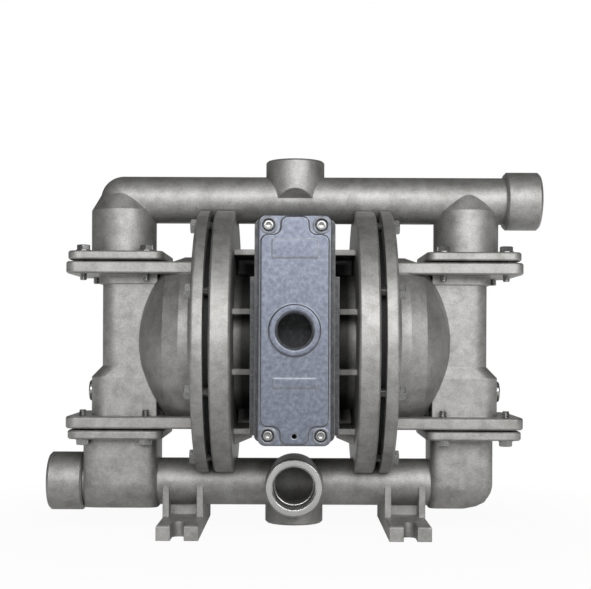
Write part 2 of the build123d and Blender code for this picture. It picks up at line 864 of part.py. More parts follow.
def build_air_chamber(side):
    rim = diaphragm_rim_radius - diaphragm_rim_width
    hollow_radius = drum_radius - drum_wall
    with BuildPart() as chamber:
        with BuildSketch(side_plane(side)):
            with BuildLine():
                Polyline(
                    (drum_inner, 0),
                    (drum_inner, drum_radius),
                    (air_flange_inner, drum_radius),
                    (air_flange_inner, clamp_radius),
                    (air_flange_outer, clamp_radius),
                    (air_flange_outer, 0),
                    close=True,
                )
            make_face()
        revolve(axis=shaft_axis())
        edge = chamber.edges().filter_by(GeomType.CIRCLE).group_by(SortBy.RADIUS)[-1]
        chamfer(edge, clamp_edge / 2)
        # ribs between the round flange and the centre block, and the gusset below them
        for height in (-rib_far, -rib_near, rib_near, rib_far):
            half_depth = min(rib_half_depth, math.sqrt(rib_circle**2 - height**2))
            root = block_upper_half_width if height == rib_far else block_half_width
            with BuildSketch(Plane.XY.offset(shaft_height + height - rib_thickness / 2)):
                with Locations((side * (root + air_flange_inner) / 2, 0)):
                    Rectangle(air_flange_inner - root, 2 * half_depth)
            extrude(amount=rib_thickness)
        with BuildSketch(upright_plane(0, gusset_depth)):
            gusset_top = shaft_height - rib_far
            with BuildLine():
                Polyline(
                    (side * block_half_width, gusset_top),
                    (side * air_flange_inner, gusset_top),
                    (side * air_flange_inner, gusset_top - gusset_drop),
                    (side * block_half_width, gusset_top - gusset_drop / 2),
                    close=True,
                )
            make_face()
        extrude(amount=2 * gusset_depth)
        with BuildSketch(side_plane(side)):
            with BuildLine():
                Polyline(
                    (cavity_back, 0),
                    (cavity_back, hollow_radius),
                    (air_flange_inner + drum_wall, hollow_radius),
                    (air_flange_inner + drum_wall, rim - air_cavity_slope),
                    (air_flange_outer, rim),
                    (air_flange_outer, 0),
                    close=True,
                )
            make_face()
        revolve(axis=shaft_axis(), mode=Mode.SUBTRACT)
        with BuildSketch(Plane.YZ.offset(side * drum_inner)):
            with Locations((0, shaft_height)):
                Circle(bush_radius + seat_clearance)
                with PolarLocations(chamber_screw_circle, chamber_screw_count):
                    Circle(chamber_screw_radius + hole_clearance)
            with Locations((0, shaft_height + pilot_offset)):
                Circle(pilot_bush_radius + seat_clearance)
        extrude(amount=side * drum_back_wall, mode=Mode.SUBTRACT)
        with BuildSketch(Plane.YZ.offset(side * air_flange_outer)):
            with Locations((0, shaft_height)):
                add(clamp_bolt_pattern(clamp_bolt_radius + hole_clearance))
        extrude(amount=-side * clamp_bolt_depth, mode=Mode.SUBTRACT)
        add(pipe_relief(discharge_height), mode=Mode.SUBTRACT)
        add(pipe_relief(inlet_height), mode=Mode.SUBTRACT)
    return chamber.part


def build_centre_block():
    bush_depth = bush_length - drum_back_wall
    pilot_depth = pilot_bush_length - drum_back_wall
    with BuildPart() as block:
        with BuildSketch(Plane.XY.offset(block_bottom)):
            with Locations((0, (block_back - block_front) / 2)):
                Rectangle(2 * block_half_width, block_back + block_front)
        extrude(amount=block_top - block_bottom)
        with BuildSketch(Plane.XY.offset(block_top)):
            with Locations((0, (block_back - block_front) / 2)):
                Rectangle(2 * block_upper_half_width, block_back + block_front)
        extrude(amount=block_upper_top - block_top)
        with BuildSketch(upright_plane(0, -block_face)):
            with Locations((0, (slab_bottom + slab_top) / 2)):
                RectangleRounded(2 * slab_half_width, slab_top - slab_bottom, slab_corner)
        extrude(amount=-slab_thickness)
        # exhaust pocket behind the plate
        with BuildSketch(upright_plane(0, -block_face)):
            with Locations((0, exhaust_port_height)):
                RectangleRounded(2 * exhaust_pocket_half_width, exhaust_pocket_height, slab_corner)
        extrude(amount=-exhaust_pocket_depth, mode=Mode.SUBTRACT)
        # shaft and pilot bores
        with BuildSketch(Plane.YZ.offset(-block_half_width)):
            with Locations((0, shaft_height)):
                Circle(shaft_radius + stop_clearance)
            with Locations((0, shaft_height + pilot_offset)):
                Circle(pilot_radius + stop_clearance)
        extrude(amount=2 * block_half_width, mode=Mode.SUBTRACT)
        for side in SIDES.values():
            with BuildSketch(Plane.YZ.offset(side * block_half_width)):
                with Locations((0, shaft_height)):
                    Circle(bush_radius + seat_clearance)
            extrude(amount=-side * bush_depth, mode=Mode.SUBTRACT)
            with BuildSketch(Plane.YZ.offset(side * block_half_width)):
                with Locations((0, shaft_height + pilot_offset)):
                    Circle(pilot_bush_radius + seat_clearance)
            extrude(amount=-side * pilot_depth, mode=Mode.SUBTRACT)
            with BuildSketch(Plane.YZ.offset(side * block_half_width)):
                with Locations((0, shaft_height)):
                    with PolarLocations(chamber_screw_circle, chamber_screw_count):
                        Circle(chamber_screw_radius + hole_clearance)
            extrude(amount=-side * (chamber_screw_length - drum_back_wall), mode=Mode.SUBTRACT)
            seal_place = block_half_width - bush_depth - shaft_seal_inset
            with BuildSketch(Plane.YZ.offset(side * (seal_place + shaft_seal_width / 2))):
                with Locations((0, shaft_height)):
                    Circle(shaft_radius + running_clearance + shaft_seal_width)
            extrude(amount=-side * shaft_seal_width, mode=Mode.SUBTRACT)
        # screw holes for the plate and the valve body
        with BuildSketch(upright_plane(0, -block_face)):
            with Locations((0, plate_centre_height)):
                with GridLocations(plate_screw_spacing_x, plate_screw_spacing_z, 2, 2):
                    Circle(plate_screw_radius + hole_clearance)
        extrude(amount=-slab_thickness, mode=Mode.SUBTRACT)
        with BuildSketch(upright_plane(0, block_back)):
            with Locations((0, valve_middle)):
                with GridLocations(body_screw_spacing_x, body_screw_spacing_z, 2, 2):
                    Circle(valve_screw_radius + hole_clearance)
        extrude(amount=valve_screw_length, mode=Mode.SUBTRACT)
    return block.part


# ----------------------------------------------------------------------------
# Exhaust plate
# ----------------------------------------------------------------------------


def panel_outline():
    """Raised panel that steps in round the four screws."""
    half_width = panel_width / 2
    half_length = panel_length / 2
    step_length = half_length - panel_corner_length
    half_tongue = panel_tongue_width / 2
    with BuildSketch() as outline:
        with BuildLine():
            FilletPolyline(
                (half_tongue, half_length),
                (half_tongue, step_length),
                (half_width, step_length),
                (half_width, -step_length),
                (half_tongue, -step_length),
                (half_tongue, -half_length),
                (-half_tongue, -half_length),
                (-half_tongue, -step_length),
                (-half_width, -step_length),
                (-half_width, step_length),
                (-half_tongue, step_length),
                (-half_tongue, half_length),
                radius=panel_round,
                close=True,
            )
        make_face()
    return outline.sketch


def build_exhaust_plate():
    with BuildPart() as plate:
        with BuildSketch(upright_plane(0, -plate_back)):
            with Locations((0, plate_centre_height)):
                RectangleRounded(plate_width, plate_length, plate_corner)
        extrude(amount=plate_thickness)
        chamfer(plate.faces().sort_by(Axis.Y)[0].edges(), plate_edge)
        with BuildSketch(upright_plane(0, -plate_face)):
            with Locations((0, plate_centre_height)):
                add(panel_outline())
        extrude(amount=panel_rise)
        chamfer(plate.faces().sort_by(Axis.Y)[0].edges(), plate_edge)
        # screw bosses, exhaust ring and the two bare label fields
        with BuildSketch(upright_plane(0, -plate_face)):
            with Locations((0, plate_centre_height)):
                with GridLocations(plate_screw_spacing_x, plate_screw_spacing_z, 2, 2):
                    Circle(counterbore_ring)
        extrude(amount=counterbore_ring_rise)
        with BuildSketch(upright_plane(0, -panel_face)):
            with Locations((0, exhaust_port_height)):
                Circle(exhaust_ring_radius)
        extrude(amount=exhaust_ring_rise)
        ring = plate.faces().sort_by(Axis.Y)[0].edges()
        fillet(ring, exhaust_ring_round)
        with BuildSketch(upright_plane(0, -panel_face)):
            with Locations((0, upper_label_height)):
                Rectangle(upper_label_width, upper_label_length)
            with Locations((0, lower_label_height)):
                Rectangle(lower_label_width, lower_label_length)
        extrude(amount=label_rise)
        # exhaust bore with its chamfered mouth
        ring_face = Plane(origin=(0, -panel_face - exhaust_ring_rise, exhaust_port_height), z_dir=(0, -1, 0))
        with BuildSketch(ring_face):
            Circle(exhaust_bore_radius + exhaust_lip)
        extrude(amount=-exhaust_lip, taper=45, mode=Mode.SUBTRACT)
        with BuildSketch(ring_face):
            Circle(exhaust_bore_radius)
        extrude(amount=-(plate_thickness + panel_rise + exhaust_ring_rise), mode=Mode.SUBTRACT)
        # counterbored screw holes and the vent
        screw_seat = plate_face + counterbore_ring_rise - plate_screw_head
        with BuildSketch(upright_plane(0, -screw_seat)):
            with Locations((0, plate_centre_height)):
                with GridLocations(plate_screw_spacing_x, plate_screw_spacing_z, 2, 2):
                    Circle(counterbore_radius)
        extrude(amount=plate_thickness, mode=Mode.SUBTRACT)
        with BuildSketch(upright_plane(0, -plate_back)):
            with Locations((0, plate_centre_height)):
                with GridLocations(plate_screw_spacing_x, plate_screw_spacing_z, 2, 2):
                    Circle(plate_screw_radius + hole_clearance)
            with Locations((0, vent_height)):
                Circle(vent_radius)
        extrude(amount=plate_thickness + panel_rise, mode=Mode.SUBTRACT)
    return plate.part


def build_exhaust_gasket():
    with BuildPart() as gasket:
        with BuildSketch(upright_plane(0, -block_face)):
            with Locations((0, plate_centre_height)):
                RectangleRounded(plate_width, plate_length - 2 * slab_inset, slab_corner)
                with GridLocations(plate_screw_spacing_x, plate_screw_spacing_z, 2, 2):
                    Circle(plate_screw_radius + hole_clearance, mode=Mode.SUBTRACT)
            with Locations((0, exhaust_port_height)):
                RectangleRounded(
                    2 * exhaust_pocket_half_width,
                    exhaust_pocket_height,
                    slab_corner,
                    mode=Mode.SUBTRACT,
                )
        extrude(amount=gasket_thickness)
    return gasket.part


# ----------------------------------------------------------------------------
# Screws and plugs
# ----------------------------------------------------------------------------


def hex_bolts(planes, across_flats, head, shank_radius, length, with_washer):
    """Hexagon bolts, one for each plane: the plane is the seat, and its normal points to the head."""
    seat = washer_thickness if with_washer else 0.0
    corner = across_flats / math.sqrt(3)
    with BuildPart() as bolts:
        for place in planes:
            with BuildSketch(place.offset(seat)):
                RegularPolygon(corner, 6)
            extrude(amount=head)
            with BuildSketch(place):
                Circle(shank_radius)
            extrude(amount=-length)
            if with_washer:
                with BuildSketch(place):
                    Circle(washer_radius)
                extrude(amount=washer_thickness)
    return bolts.part


def socket_screws(planes, head_radius, head, socket, shank_radius, length):
    """Socket head screws, one for each plane, seated as the bolts above."""
    with BuildPart() as screws:
        for place in planes:
            with BuildSketch(place):
                Circle(head_radius)
            extrude(amount=head)
            with BuildSketch(place):
                Circle(shank_radius)
            extrude(amount=-length)
            with BuildSketch(place.offset(head)):
                RegularPolygon(socket / math.sqrt(3), 6)
            extrude(amount=-head / 2, mode=Mode.SUBTRACT)
    return screws.part


def build_joint_bolts(height, direction):
    planes = [
        Plane(origin=(x, y, height), x_dir=(1, 0, 0), z_dir=(0, 0, direction))
        for side in SIDES.values()
        for x, y in joint_bolt_places(side)
    ]
    length = manifold_flange + joint_gap + chamber_flange + joint_bolt_protrusion
    return hex_bolts(
        planes, joint_bolt_across_flats, joint_bolt_head, joint_bolt_radius, length, True
    )


def clamp_bolt_angles():
    step = 360 / clamp_bolt_count
    return [math.radians(step * (index + 0.5)) for index in range(clamp_bolt_count)]


def build_clamp_bolts(side):
    planes = [
        Plane(
            origin=(
                side * liquid_flange_outer,
                clamp_bolt_circle * math.cos(angle),
                shaft_height + clamp_bolt_circle * math.sin(angle),
            ),
            x_dir=(0, 1, 0),
            z_dir=(side, 0, 0),
        )
        for angle in clamp_bolt_angles()
    ]
    length = liquid_flange_outer - air_flange_outer + clamp_bolt_depth - stop_clearance
    return hex_bolts(
        planes, clamp_bolt_across_flats, clamp_bolt_head, clamp_bolt_radius, length, False
    )


def build_chamber_screws():
    planes = []
    for side in SIDES.values():
        for index in range(chamber_screw_count):
            angle = math.radians(360 / chamber_screw_count * index)
            y = chamber_screw_circle * math.cos(angle)
            z = shaft_height + chamber_screw_circle * math.sin(angle)
            planes.append(Plane(origin=(side * cavity_back, y, z), x_dir=(0, 1, 0), z_dir=(side, 0, 0)))
    return socket_screws(
        planes,
        chamber_screw_head_radius,
        chamber_screw_head,
        chamber_screw_head,
        chamber_screw_radius,
        chamber_screw_length - stop_clearance,
    )


def build_plate_screws():
    seat = plate_face + counterbore_ring_rise - plate_screw_head
    planes = [
        Plane(origin=(x, -seat, plate_centre_height + z), x_dir=(1, 0, 0), z_dir=(0, -1, 0))
        for x in (-plate_screw_spacing_x / 2, plate_screw_spacing_x / 2)
        for z in (-plate_screw_spacing_z / 2, plate_screw_spacing_z / 2)
    ]
    return socket_screws(
        planes,
        plate_screw_head_radius,
        plate_screw_head,
        plate_screw_socket,
        plate_screw_radius,
        plate_screw_length,
    )


def build_drain_plugs():
    with BuildPart() as plugs:
        for side in SIDES.values():
            with BuildSketch(Plane.YZ.offset(side * ball_box_outer)):
                with Locations((0, plug_height)):
                    Circle(plug_radius)
            extrude(amount=side * plug_head)
            with BuildSketch(Plane.YZ.offset(side * ball_box_outer)):
                with Locations((0, plug_height)):
                    Circle(plug_shank_radius)
            extrude(amount=-side * (plug_shank_length - stop_clearance))
            outer = plugs.edges().filter_by(GeomType.CIRCLE).sort_by(Axis.X)[-1 if side > 0 else 0]
            fillet(outer, plug_edge)
    return plugs.part


# ----------------------------------------------------------------------------
# Valve seats, seals and balls
# ----------------------------------------------------------------------------


def build_seat(side, joint_height):
    bottom = joint_height - joint_gap / 2 - seat_lower_depth
    top = joint_height + joint_gap / 2 + seat_upper_depth
    ball_centre = (side * column_offset, 0, top + ball_rise)
    with BuildPart() as seat:
        with BuildSketch(Plane.XY.offset(bottom)):
            with Locations((side * column_offset, 0)):
                Circle(seat_radius)
                Circle(seat_bore_radius, mode=Mode.SUBTRACT)
        extrude(amount=top - bottom)
        with Locations(ball_centre):
            Sphere(ball_radius + ball_seat_clearance, mode=Mode.SUBTRACT)
        with BuildSketch(Plane.XY.offset(joint_height - seat_seal_height / 2)):
            with Locations((side * column_offset, 0)):
                Circle(seat_radius)
                Circle(seat_radius - seat_seal_width, mode=Mode.SUBTRACT)
        extrude(amount=seat_seal_height, mode=Mode.SUBTRACT)
    return seat.part


def build_seat_seals():
    with BuildPart() as seals:
        for side in SIDES.values():
            for joint_height in (lower_joint_height, upper_joint_height):
                with BuildSketch(Plane.XY.offset(joint_height - seat_seal_height / 2)):
                    with Locations((side * column_offset, 0)):
                        Circle(seat_radius)
                        Circle(seat_radius - seat_seal_width, mode=Mode.SUBTRACT)
                extrude(amount=seat_seal_height)
    return seals.part


def build_ball(side, joint_height):
    top = joint_height + joint_gap / 2 + seat_upper_depth
    with BuildPart() as ball:
        with Locations((side * column_offset, 0, top + ball_rise)):
            Sphere(ball_radius)
    return ball.part


# ----------------------------------------------------------------------------
# Shaft, diaphragms and pilot
# ----------------------------------------------------------------------------


def build_shaft():
    with BuildPart() as shaft:
        with BuildSketch(Plane.YZ.offset(-shaft_end)):
            with Locations((0, shaft_height)):
                Circle(shaft_radius)
        extrude(amount=2 * shaft_end)
    return shaft.part


def turned_ring(start, length, inner_radius, outer_radius, height):
    """Plain ring along the shaft's direction."""
    with BuildPart() as ring:
        with BuildSketch(Plane.YZ.offset(start)):
            with Locations((0, height)):
                Circle(outer_radius)
                Circle(inner_radius, mode=Mode.SUBTRACT)
        extrude(amount=length)
    return ring.part


def build_bushes(inner_radius, outer_radius, length, height):
    with BuildPart() as bushes:
        for side in SIDES.values():
            add(turned_ring(side * cavity_back, -side * length, inner_radius, outer_radius, height))
    return bushes.part


def build_shaft_seals():
    place = block_half_width - (bush_length - drum_back_wall) - shaft_seal_inset
    inner_radius = shaft_radius + running_clearance
    with BuildPart() as seals:
        for side in SIDES.values():
            start = side * place - shaft_seal_width / 2
            add(
                turned_ring(
                    start, shaft_seal_width, inner_radius, inner_radius + shaft_seal_width, shaft_height
                )
            )
    return seals.part


def build_inner_plate(side):
    with BuildPart() as plate:
        with BuildSketch(side_plane(side)):
            with BuildLine():
                Polyline(
                    (inner_plate_face, shaft_radius),
                    (inner_plate_face, inner_plate_radius),
                    (inner_plate_face - inner_plate_thickness / 2, inner_plate_radius),
                    (inner_plate_face - inner_plate_thickness, inner_plate_radius - inner_plate_thickness),
                    (inner_plate_face - inner_plate_thickness, shaft_radius),
                    close=True,
                )
            make_face()
        revolve(axis=shaft_axis())
    return plate.part


def build_outer_plate(side):
    crown = outer_plate_face + outer_plate_thickness
    with BuildPart() as plate:
        with BuildSketch(side_plane(side)):
            with BuildLine():
                Polyline(
                    (crown + outer_hub_length, 0),
                    (crown + outer_hub_length, outer_hub_radius),
                    (crown, outer_hub_radius),
                    (outer_plate_face + outer_plate_rim, outer_plate_radius),
                    (outer_plate_face, outer_plate_radius),
                    (outer_plate_face, shaft_radius),
                    (shaft_end, shaft_radius),
                    (shaft_end, 0),
                    close=True,
                )
            make_face()
        revolve(axis=shaft_axis())
    return plate.part


def build_diaphragm(side):
    """Moulded disc: flat centre, one rolled convolution and a thick clamped rim."""
    rim_inner = diaphragm_rim_radius - diaphragm_rim_width
    middle = (diaphragm_centre_radius + rim_inner) / 2
    with BuildPart() as diaphragm:
        with BuildSketch(side_plane(side)):
            with BuildLine():
                Line((inner_plate_face, shaft_radius), (inner_plate_face, diaphragm_centre_radius))
                ThreePointArc(
                    (inner_plate_face, diaphragm_centre_radius),
                    (inner_plate_face - diaphragm_sag, middle),
                    (inner_plate_face, rim_inner),
                )
                Polyline(
                    (inner_plate_face, rim_inner),
                    (air_flange_outer, rim_inner),
                    (air_flange_outer, diaphragm_rim_radius),
                    (liquid_flange_inner, diaphragm_rim_radius),
                    (liquid_flange_inner, rim_inner),
                    (outer_plate_face, rim_inner),
                )
                ThreePointArc(
                    (outer_plate_face, rim_inner),
                    (outer_plate_face - diaphragm_sag, middle),
                    (outer_plate_face, diaphragm_centre_radius),
                )
                Polyline(
                    (outer_plate_face, diaphragm_centre_radius),
                    (outer_plate_face, shaft_radius),
                    (inner_plate_face, shaft_radius),
                )
            make_face()
        revolve(axis=shaft_axis())
    return diaphragm.part


def build_pilot_spool():
    half_length = inner_plate_face - inner_plate_thickness - stroke + pilot_travel - pilot_end_gap
    with BuildPart() as spool:
        with BuildSketch(Plane.YZ.offset(-half_length)):
            with Locations((0, shaft_height + pilot_offset)):
                Circle(pilot_radius)
        extrude(amount=2 * half_length)
    return spool.part


# ----------------------------------------------------------------------------
# Air valve
# ----------------------------------------------------------------------------


def build_valve_body():
    with BuildPart() as body:
        with BuildSketch(Plane.XY.offset(valve_bottom)):
            with Locations((0, valve_front + valve_lug_thickness / 2)):
                Rectangle(valve_width, valve_lug_thickness)
            with Locations((0, (valve_front + valve_rear) / 2)):
                RectangleRounded(valve_waist_width, valve_depth, valve_corner)
        extrude(amount=valve_top - valve_bottom)
        for height in (valve_bottom, valve_top - valve_cap_thickness):
            with BuildSketch(Plane.XY.offset(height)):
                with Locations((0, (valve_front + valve_rear) / 2)):
                    RectangleRounded(valve_width, valve_depth, valve_corner)
            extrude(amount=valve_cap_thickness)
        port_face = Plane(origin=(0, valve_rear + air_port_boss_rise, air_port_height), z_dir=(0, 1, 0))
        with BuildSketch(port_face):
            Circle(air_port_boss_radius)
        extrude(amount=-2 * air_port_boss_rise)
        with BuildSketch(Plane.XY.offset(valve_bottom)):
            with Locations((0, valve_axis)):
                Circle(sleeve_radius + seat_clearance)
        extrude(amount=valve_top - valve_bottom, mode=Mode.SUBTRACT)
        with BuildSketch(port_face):
            Circle(air_port_mouth_radius)
        extrude(amount=-(air_port_mouth_radius - air_port_radius), taper=45, mode=Mode.SUBTRACT)
        with BuildSketch(port_face):
            Circle(air_port_radius)
        extrude(amount=-air_port_depth, mode=Mode.SUBTRACT)
        with BuildSketch(port_face):
            Circle(air_passage_radius)
        extrude(amount=-(valve_rear + air_port_boss_rise - valve_axis), mode=Mode.SUBTRACT)
        with BuildSketch(upright_plane(0, valve_front)):
            with Locations((0, valve_middle)):
                with GridLocations(body_screw_spacing_x, body_screw_spacing_z, 2, 2):
                    Circle(valve_screw_radius + hole_clearance)
        extrude(amount=-valve_lug_thickness, mode=Mode.SUBTRACT)
        for height, direction in ((valve_bottom, 1), (valve_top, -1)):
            with BuildSketch(Plane.XY.offset(height)):
                with Locations((0, (valve_front + valve_rear) / 2)):
                    with GridLocations(valve_cap_screw_spacing_x, valve_cap_screw_spacing_y, 2, 2):
                        Circle(valve_screw_radius + hole_clearance)
            extrude(amount=direction * valve_cap_thickness, mode=Mode.SUBTRACT)
    return body.part


def build_valve_gasket():
    with BuildPart() as gasket:
        with BuildSketch(upright_plane(0, valve_front)):
            with Locations((0, valve_middle)):
                Rectangle(valve_width, valve_top - valve_bottom)
                with GridLocations(body_screw_spacing_x, body_screw_spacing_z, 2, 2):
                    Circle(valve_screw_radius + hole_clearance, mode=Mode.SUBTRACT)
        extrude(amount=gasket_thickness)
    return gasket.part


def build_valve_cap(height, direction):
    with BuildPart() as cap:
        with BuildSketch(Plane.XY.offset(height)):
            with Locations((0, (valve_front + valve_rear) / 2)):
                RectangleRounded(
                    valve_width - 2 * valve_cap_margin,
                    valve_depth - 2 * valve_cap_margin,
                    valve_corner,
                )
                with GridLocations(valve_cap_screw_spacing_x, valve_cap_screw_spacing_y, 2, 2):
                    Circle(valve_screw_radius + hole_clearance, mode=Mode.SUBTRACT)
        extrude(amount=direction * valve_cap_thickness)
        end_face = cap.faces().filter_by(Axis.Z).sort_by(Axis.Z)[-1 if direction > 0 else 0]
        chamfer(end_face.outer_wire().edges(), plate_edge)
    return cap.part


def build_valve_cap_screws():
    planes = []
    for height, direction in (
        (valve_top + valve_cap_thickness, 1),
        (valve_bottom - valve_cap_thickness, -1),
    ):
        for x in (-valve_cap_screw_spacing_x / 2, valve_cap_screw_spacing_x / 2):
            for dy in (-valve_cap_screw_spacing_y / 2, valve_cap_screw_spacing_y / 2):
                y = (valve_front + valve_rear) / 2 + dy
                planes.append(Plane(origin=(x, y, height), x_dir=(1, 0, 0), z_dir=(0, 0, direction)))
    return socket_screws(
        planes,
        valve_screw_head_radius,
        valve_screw_head,
        valve_screw_socket,
        valve_screw_radius,
        2 * valve_cap_thickness - stop_clearance,
    )


def build_valve_body_screws():
    seat = valve_front + valve_lug_thickness
    planes = [
        Plane(origin=(x, seat, valve_middle + z), x_dir=(1, 0, 0), z_dir=(0, 1, 0))
        for x in (-body_screw_spacing_x / 2, body_screw_spacing_x / 2)
        for z in (-body_screw_spacing_z / 2, body_screw_spacing_z / 2)
    ]
    length = valve_lug_thickness + gasket_thickness + valve_screw_length - stop_clearance
    return socket_screws(
        planes,
        valve_screw_head_radius,
        valve_screw_head,
        valve_screw_socket,
        valve_screw_radius,
        length,
    )


def build_valve_sleeve():
    with BuildPart() as sleeve:
        with BuildSketch(Plane.XY.offset(valve_middle - sleeve_length / 2)):
            with Locations((0, valve_axis)):
                Circle(sleeve_radius)
                Circle(spool_radius + running_clearance, mode=Mode.SUBTRACT)
        extrude(amount=sleeve_length)
        with BuildSketch(upright_plane(0, valve_axis)):
            with Locations((0, air_port_height)):
                Circle(air_passage_radius)
        extrude(amount=-sleeve_radius, mode=Mode.SUBTRACT)
    return sleeve.part


def build_valve_spool():
    bottom = valve_bottom + stop_clearance
    land = spool_length / spool_sections
    with BuildPart() as spool:
        with BuildSketch(upright_plane(0, valve_axis)):
            with BuildLine():
                Polyline(
                    (0, bottom),
                    (spool_radius, bottom),
                    (spool_radius, bottom + land),
                    (spool_radius - spool_groove, bottom + land),
                    (spool_radius - spool_groove, bottom + 2 * land),
                    (spool_radius, bottom + 2 * land),
                    (spool_radius, bottom + 3 * land),
                    (spool_radius - spool_groove, bottom + 3 * land),
                    (spool_radius - spool_groove, bottom + 4 * land),
                    (spool_radius, bottom + 4 * land),
                    (spool_radius, bottom + spool_length),
                    (0, bottom + spool_length),
                    close=True,
                )
            make_face()
        revolve(axis=upright_axis(0, valve_axis))
    return spool.part


# ----------------------------------------------------------------------------
# Write the pieces
# ----------------------------------------------------------------------------

save(build_inlet_manifold(), "inlet_manifold")
save(build_discharge_manifold(), "discharge_manifold")
save(build_centre_block(), "centre_block")
save(build_exhaust_plate(), "exhaust_plate")
save(build_exhaust_gasket(), "exhaust_gasket")
save(build_plate_screws(), "plate_screws")
save(build_drain_plugs(), "drain_plugs")
save(build_chamber_screws(), "air_chamber_screws")
save(build_joint_bolts(lower_neck_top, -1), "inlet_joint_bolts")
save(build_joint_bolts(upper_neck_bottom, 1), "discharge_joint_bolts")
save(build_seat_seals(), "seat_seals")
save(build_shaft(), "shaft")
save(
    build_bushes(shaft_radius + running_clearance, bush_radius, bush_length, shaft_height),
    "shaft_bushes",
)
save(build_shaft_seals(), "shaft_seals")
save(build_pilot_spool(), "pilot_spool")
save(
    build_bushes(
        pilot_radius + running_clearance,
        pilot_bush_radius,
        pilot_bush_length,
        shaft_height + pilot_offset,
    ),
    "pilot_bushes",
)
save(build_valve_body(), "valve_body")
save(build_valve_gasket(), "valve_gasket")
save(build_valve_sleeve(), "valve_sleeve")
save(build_valve_spool(), "valve_spool")
save(build_valve_cap(valve_top, 1), "valve_cap_upper")
save(build_valve_cap(valve_bottom, -1), "valve_cap_lower")
save(build_valve_cap_screws(), "valve_cap_screws")
save(build_valve_body_screws(), "valve_body_screws")
for name, side in SIDES.items():
    save(build_liquid_chamber(side), f"liquid_chamber_{name}")
    save(build_air_chamber(side), f"air_chamber_{name}")
    save(build_clamp_bolts(side), f"clamp_bolts_{name}")
    save(build_inner_plate(side), f"inner_plate_{name}")
    save(build_outer_plate(side), f"outer_plate_{name}")
    save(build_diaphragm(side), f"diaphragm_{name}")
    save(build_seat(side, lower_joint_height), f"inlet_seat_{name}")
    save(build_seat(side, upper_joint_height), f"discharge_seat_{name}")
    save(build_ball(side, lower_joint_height), f"inlet_ball_{name}")
    save(build_ball(side, upper_joint_height), f"discharge_ball_{name}")
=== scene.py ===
"""Air operated diaphragm pump: finishes, threads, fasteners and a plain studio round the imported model.

Lengths in the properties are in metres, as Blender keeps them. X runs along the shaft, -Y is the exhaust side.
"""

import json
import math

import bmesh
import bpy
import numpy as np
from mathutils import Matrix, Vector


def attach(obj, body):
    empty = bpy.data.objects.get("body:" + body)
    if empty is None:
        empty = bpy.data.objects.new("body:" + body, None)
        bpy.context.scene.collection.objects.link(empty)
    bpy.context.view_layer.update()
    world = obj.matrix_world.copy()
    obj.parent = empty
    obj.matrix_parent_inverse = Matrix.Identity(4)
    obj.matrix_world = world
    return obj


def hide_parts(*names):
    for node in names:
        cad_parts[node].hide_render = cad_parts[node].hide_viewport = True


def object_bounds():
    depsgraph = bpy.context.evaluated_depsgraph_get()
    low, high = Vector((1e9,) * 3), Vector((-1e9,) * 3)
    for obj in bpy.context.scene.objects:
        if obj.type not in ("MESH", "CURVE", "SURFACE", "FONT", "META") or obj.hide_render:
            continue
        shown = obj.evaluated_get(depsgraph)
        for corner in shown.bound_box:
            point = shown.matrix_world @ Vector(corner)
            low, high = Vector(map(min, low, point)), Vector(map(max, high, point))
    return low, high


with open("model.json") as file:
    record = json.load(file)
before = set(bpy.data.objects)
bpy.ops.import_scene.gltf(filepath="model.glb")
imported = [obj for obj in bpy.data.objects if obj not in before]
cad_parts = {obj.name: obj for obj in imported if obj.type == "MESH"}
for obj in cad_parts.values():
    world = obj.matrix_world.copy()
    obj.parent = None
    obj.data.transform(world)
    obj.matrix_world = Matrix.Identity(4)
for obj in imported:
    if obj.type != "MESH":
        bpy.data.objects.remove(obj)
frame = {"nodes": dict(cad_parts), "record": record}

bl_info = {
    "name": "Diaphragm pump",
    "version": (1, 0, 0),
    "blender": (4, 5, 0),
    "location": "View3D > Sidebar > Pump",
    "description": "Finishes, threads and fasteners of an air operated diaphragm pump",
    "category": "Object",
}

CAD_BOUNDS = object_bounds()
MM = 0.001
FULL_TURN = 2 * math.pi
MOUNTS = {mount["name"]: mount for mount in frame["record"]["mounts"]}
# The centre block gets a darker copy of the plate's aluminium, whose darkness is painted shade.
NODE_FINISH = {"centre_block": "centre_block_painted_shade"}
PIPE_PORTS = ("inlet_end_port", "inlet_front_port", "discharge_end_port", "discharge_top_port")
PORT_CHAMFER = 1.8 * MM
PORT_SKIN = 0.25 * MM  # depth below a port's face that still counts as its turned face
PORT_REACH = 36 * MM  # beyond the widest boss, from its axis
BORE_MARGIN = 1.0 * MM  # outside a port's bore, still its chamfer
BORE_END = 4 * MM  # past a thread's end, still a turned bore
# Bounds of the painted shade that darkens the casting between the discs: where it starts and where it is full.
PAINTED_SHADE_X = (65.5 * MM, 56 * MM)  # the recess shade starts and is full here: off the middle,
PAINTED_SHADE_Y = (-104 * MM, -92 * MM)  # along y,
PAINTED_SHADE_Z = (92 * MM, 88 * MM)  # and off the shaft's height
TURNED_ROUGHNESS, TURNED_METALLIC = 0.26, 0.95
BLASTED_RELIEF, TURNED_RELIEF = 0.22, 0.03
# Colour of the painted highlight on the aluminium's edges.
EDGE_HIGHLIGHT = "C9C8C4"
DOME_ROWS, DOME_COLUMNS = 36, 128
BODY_ROWS, BODY_COLUMNS, BODY_TURN_UNDER = 12, 64, 0.42
WEB_SPANS = ((270 * MM, 302.5 * MM), (113.5 * MM, 146 * MM))  # lower and upper edges of the webs
FRONT_SOFTBOX = ((0.27, -1.83, 1.0), (2.6, 1.1))  # place, and width and height
HIGH_SOFTBOX = ((-0.3, -1.0, 2.2), (1.2, 0.8))
LAMP_TARGET = (0.0, 0.0, 0.2)
BACKDROP_CONE = (math.radians(24), math.radians(8))  # metal mirrors white inside it, round +Y
FLOOR_NEAR_CAMERA, FLOOR_NEAR_MIRRORED = 0.95, 0.25  # white share of the floor near the pump
FLOOR_HALF_WIDTH, FLOOR_DROP = 6.0, 0.2 * MM


# ---------------------------------------------------------------------------
# Sizes and colours a user would change
# ---------------------------------------------------------------------------


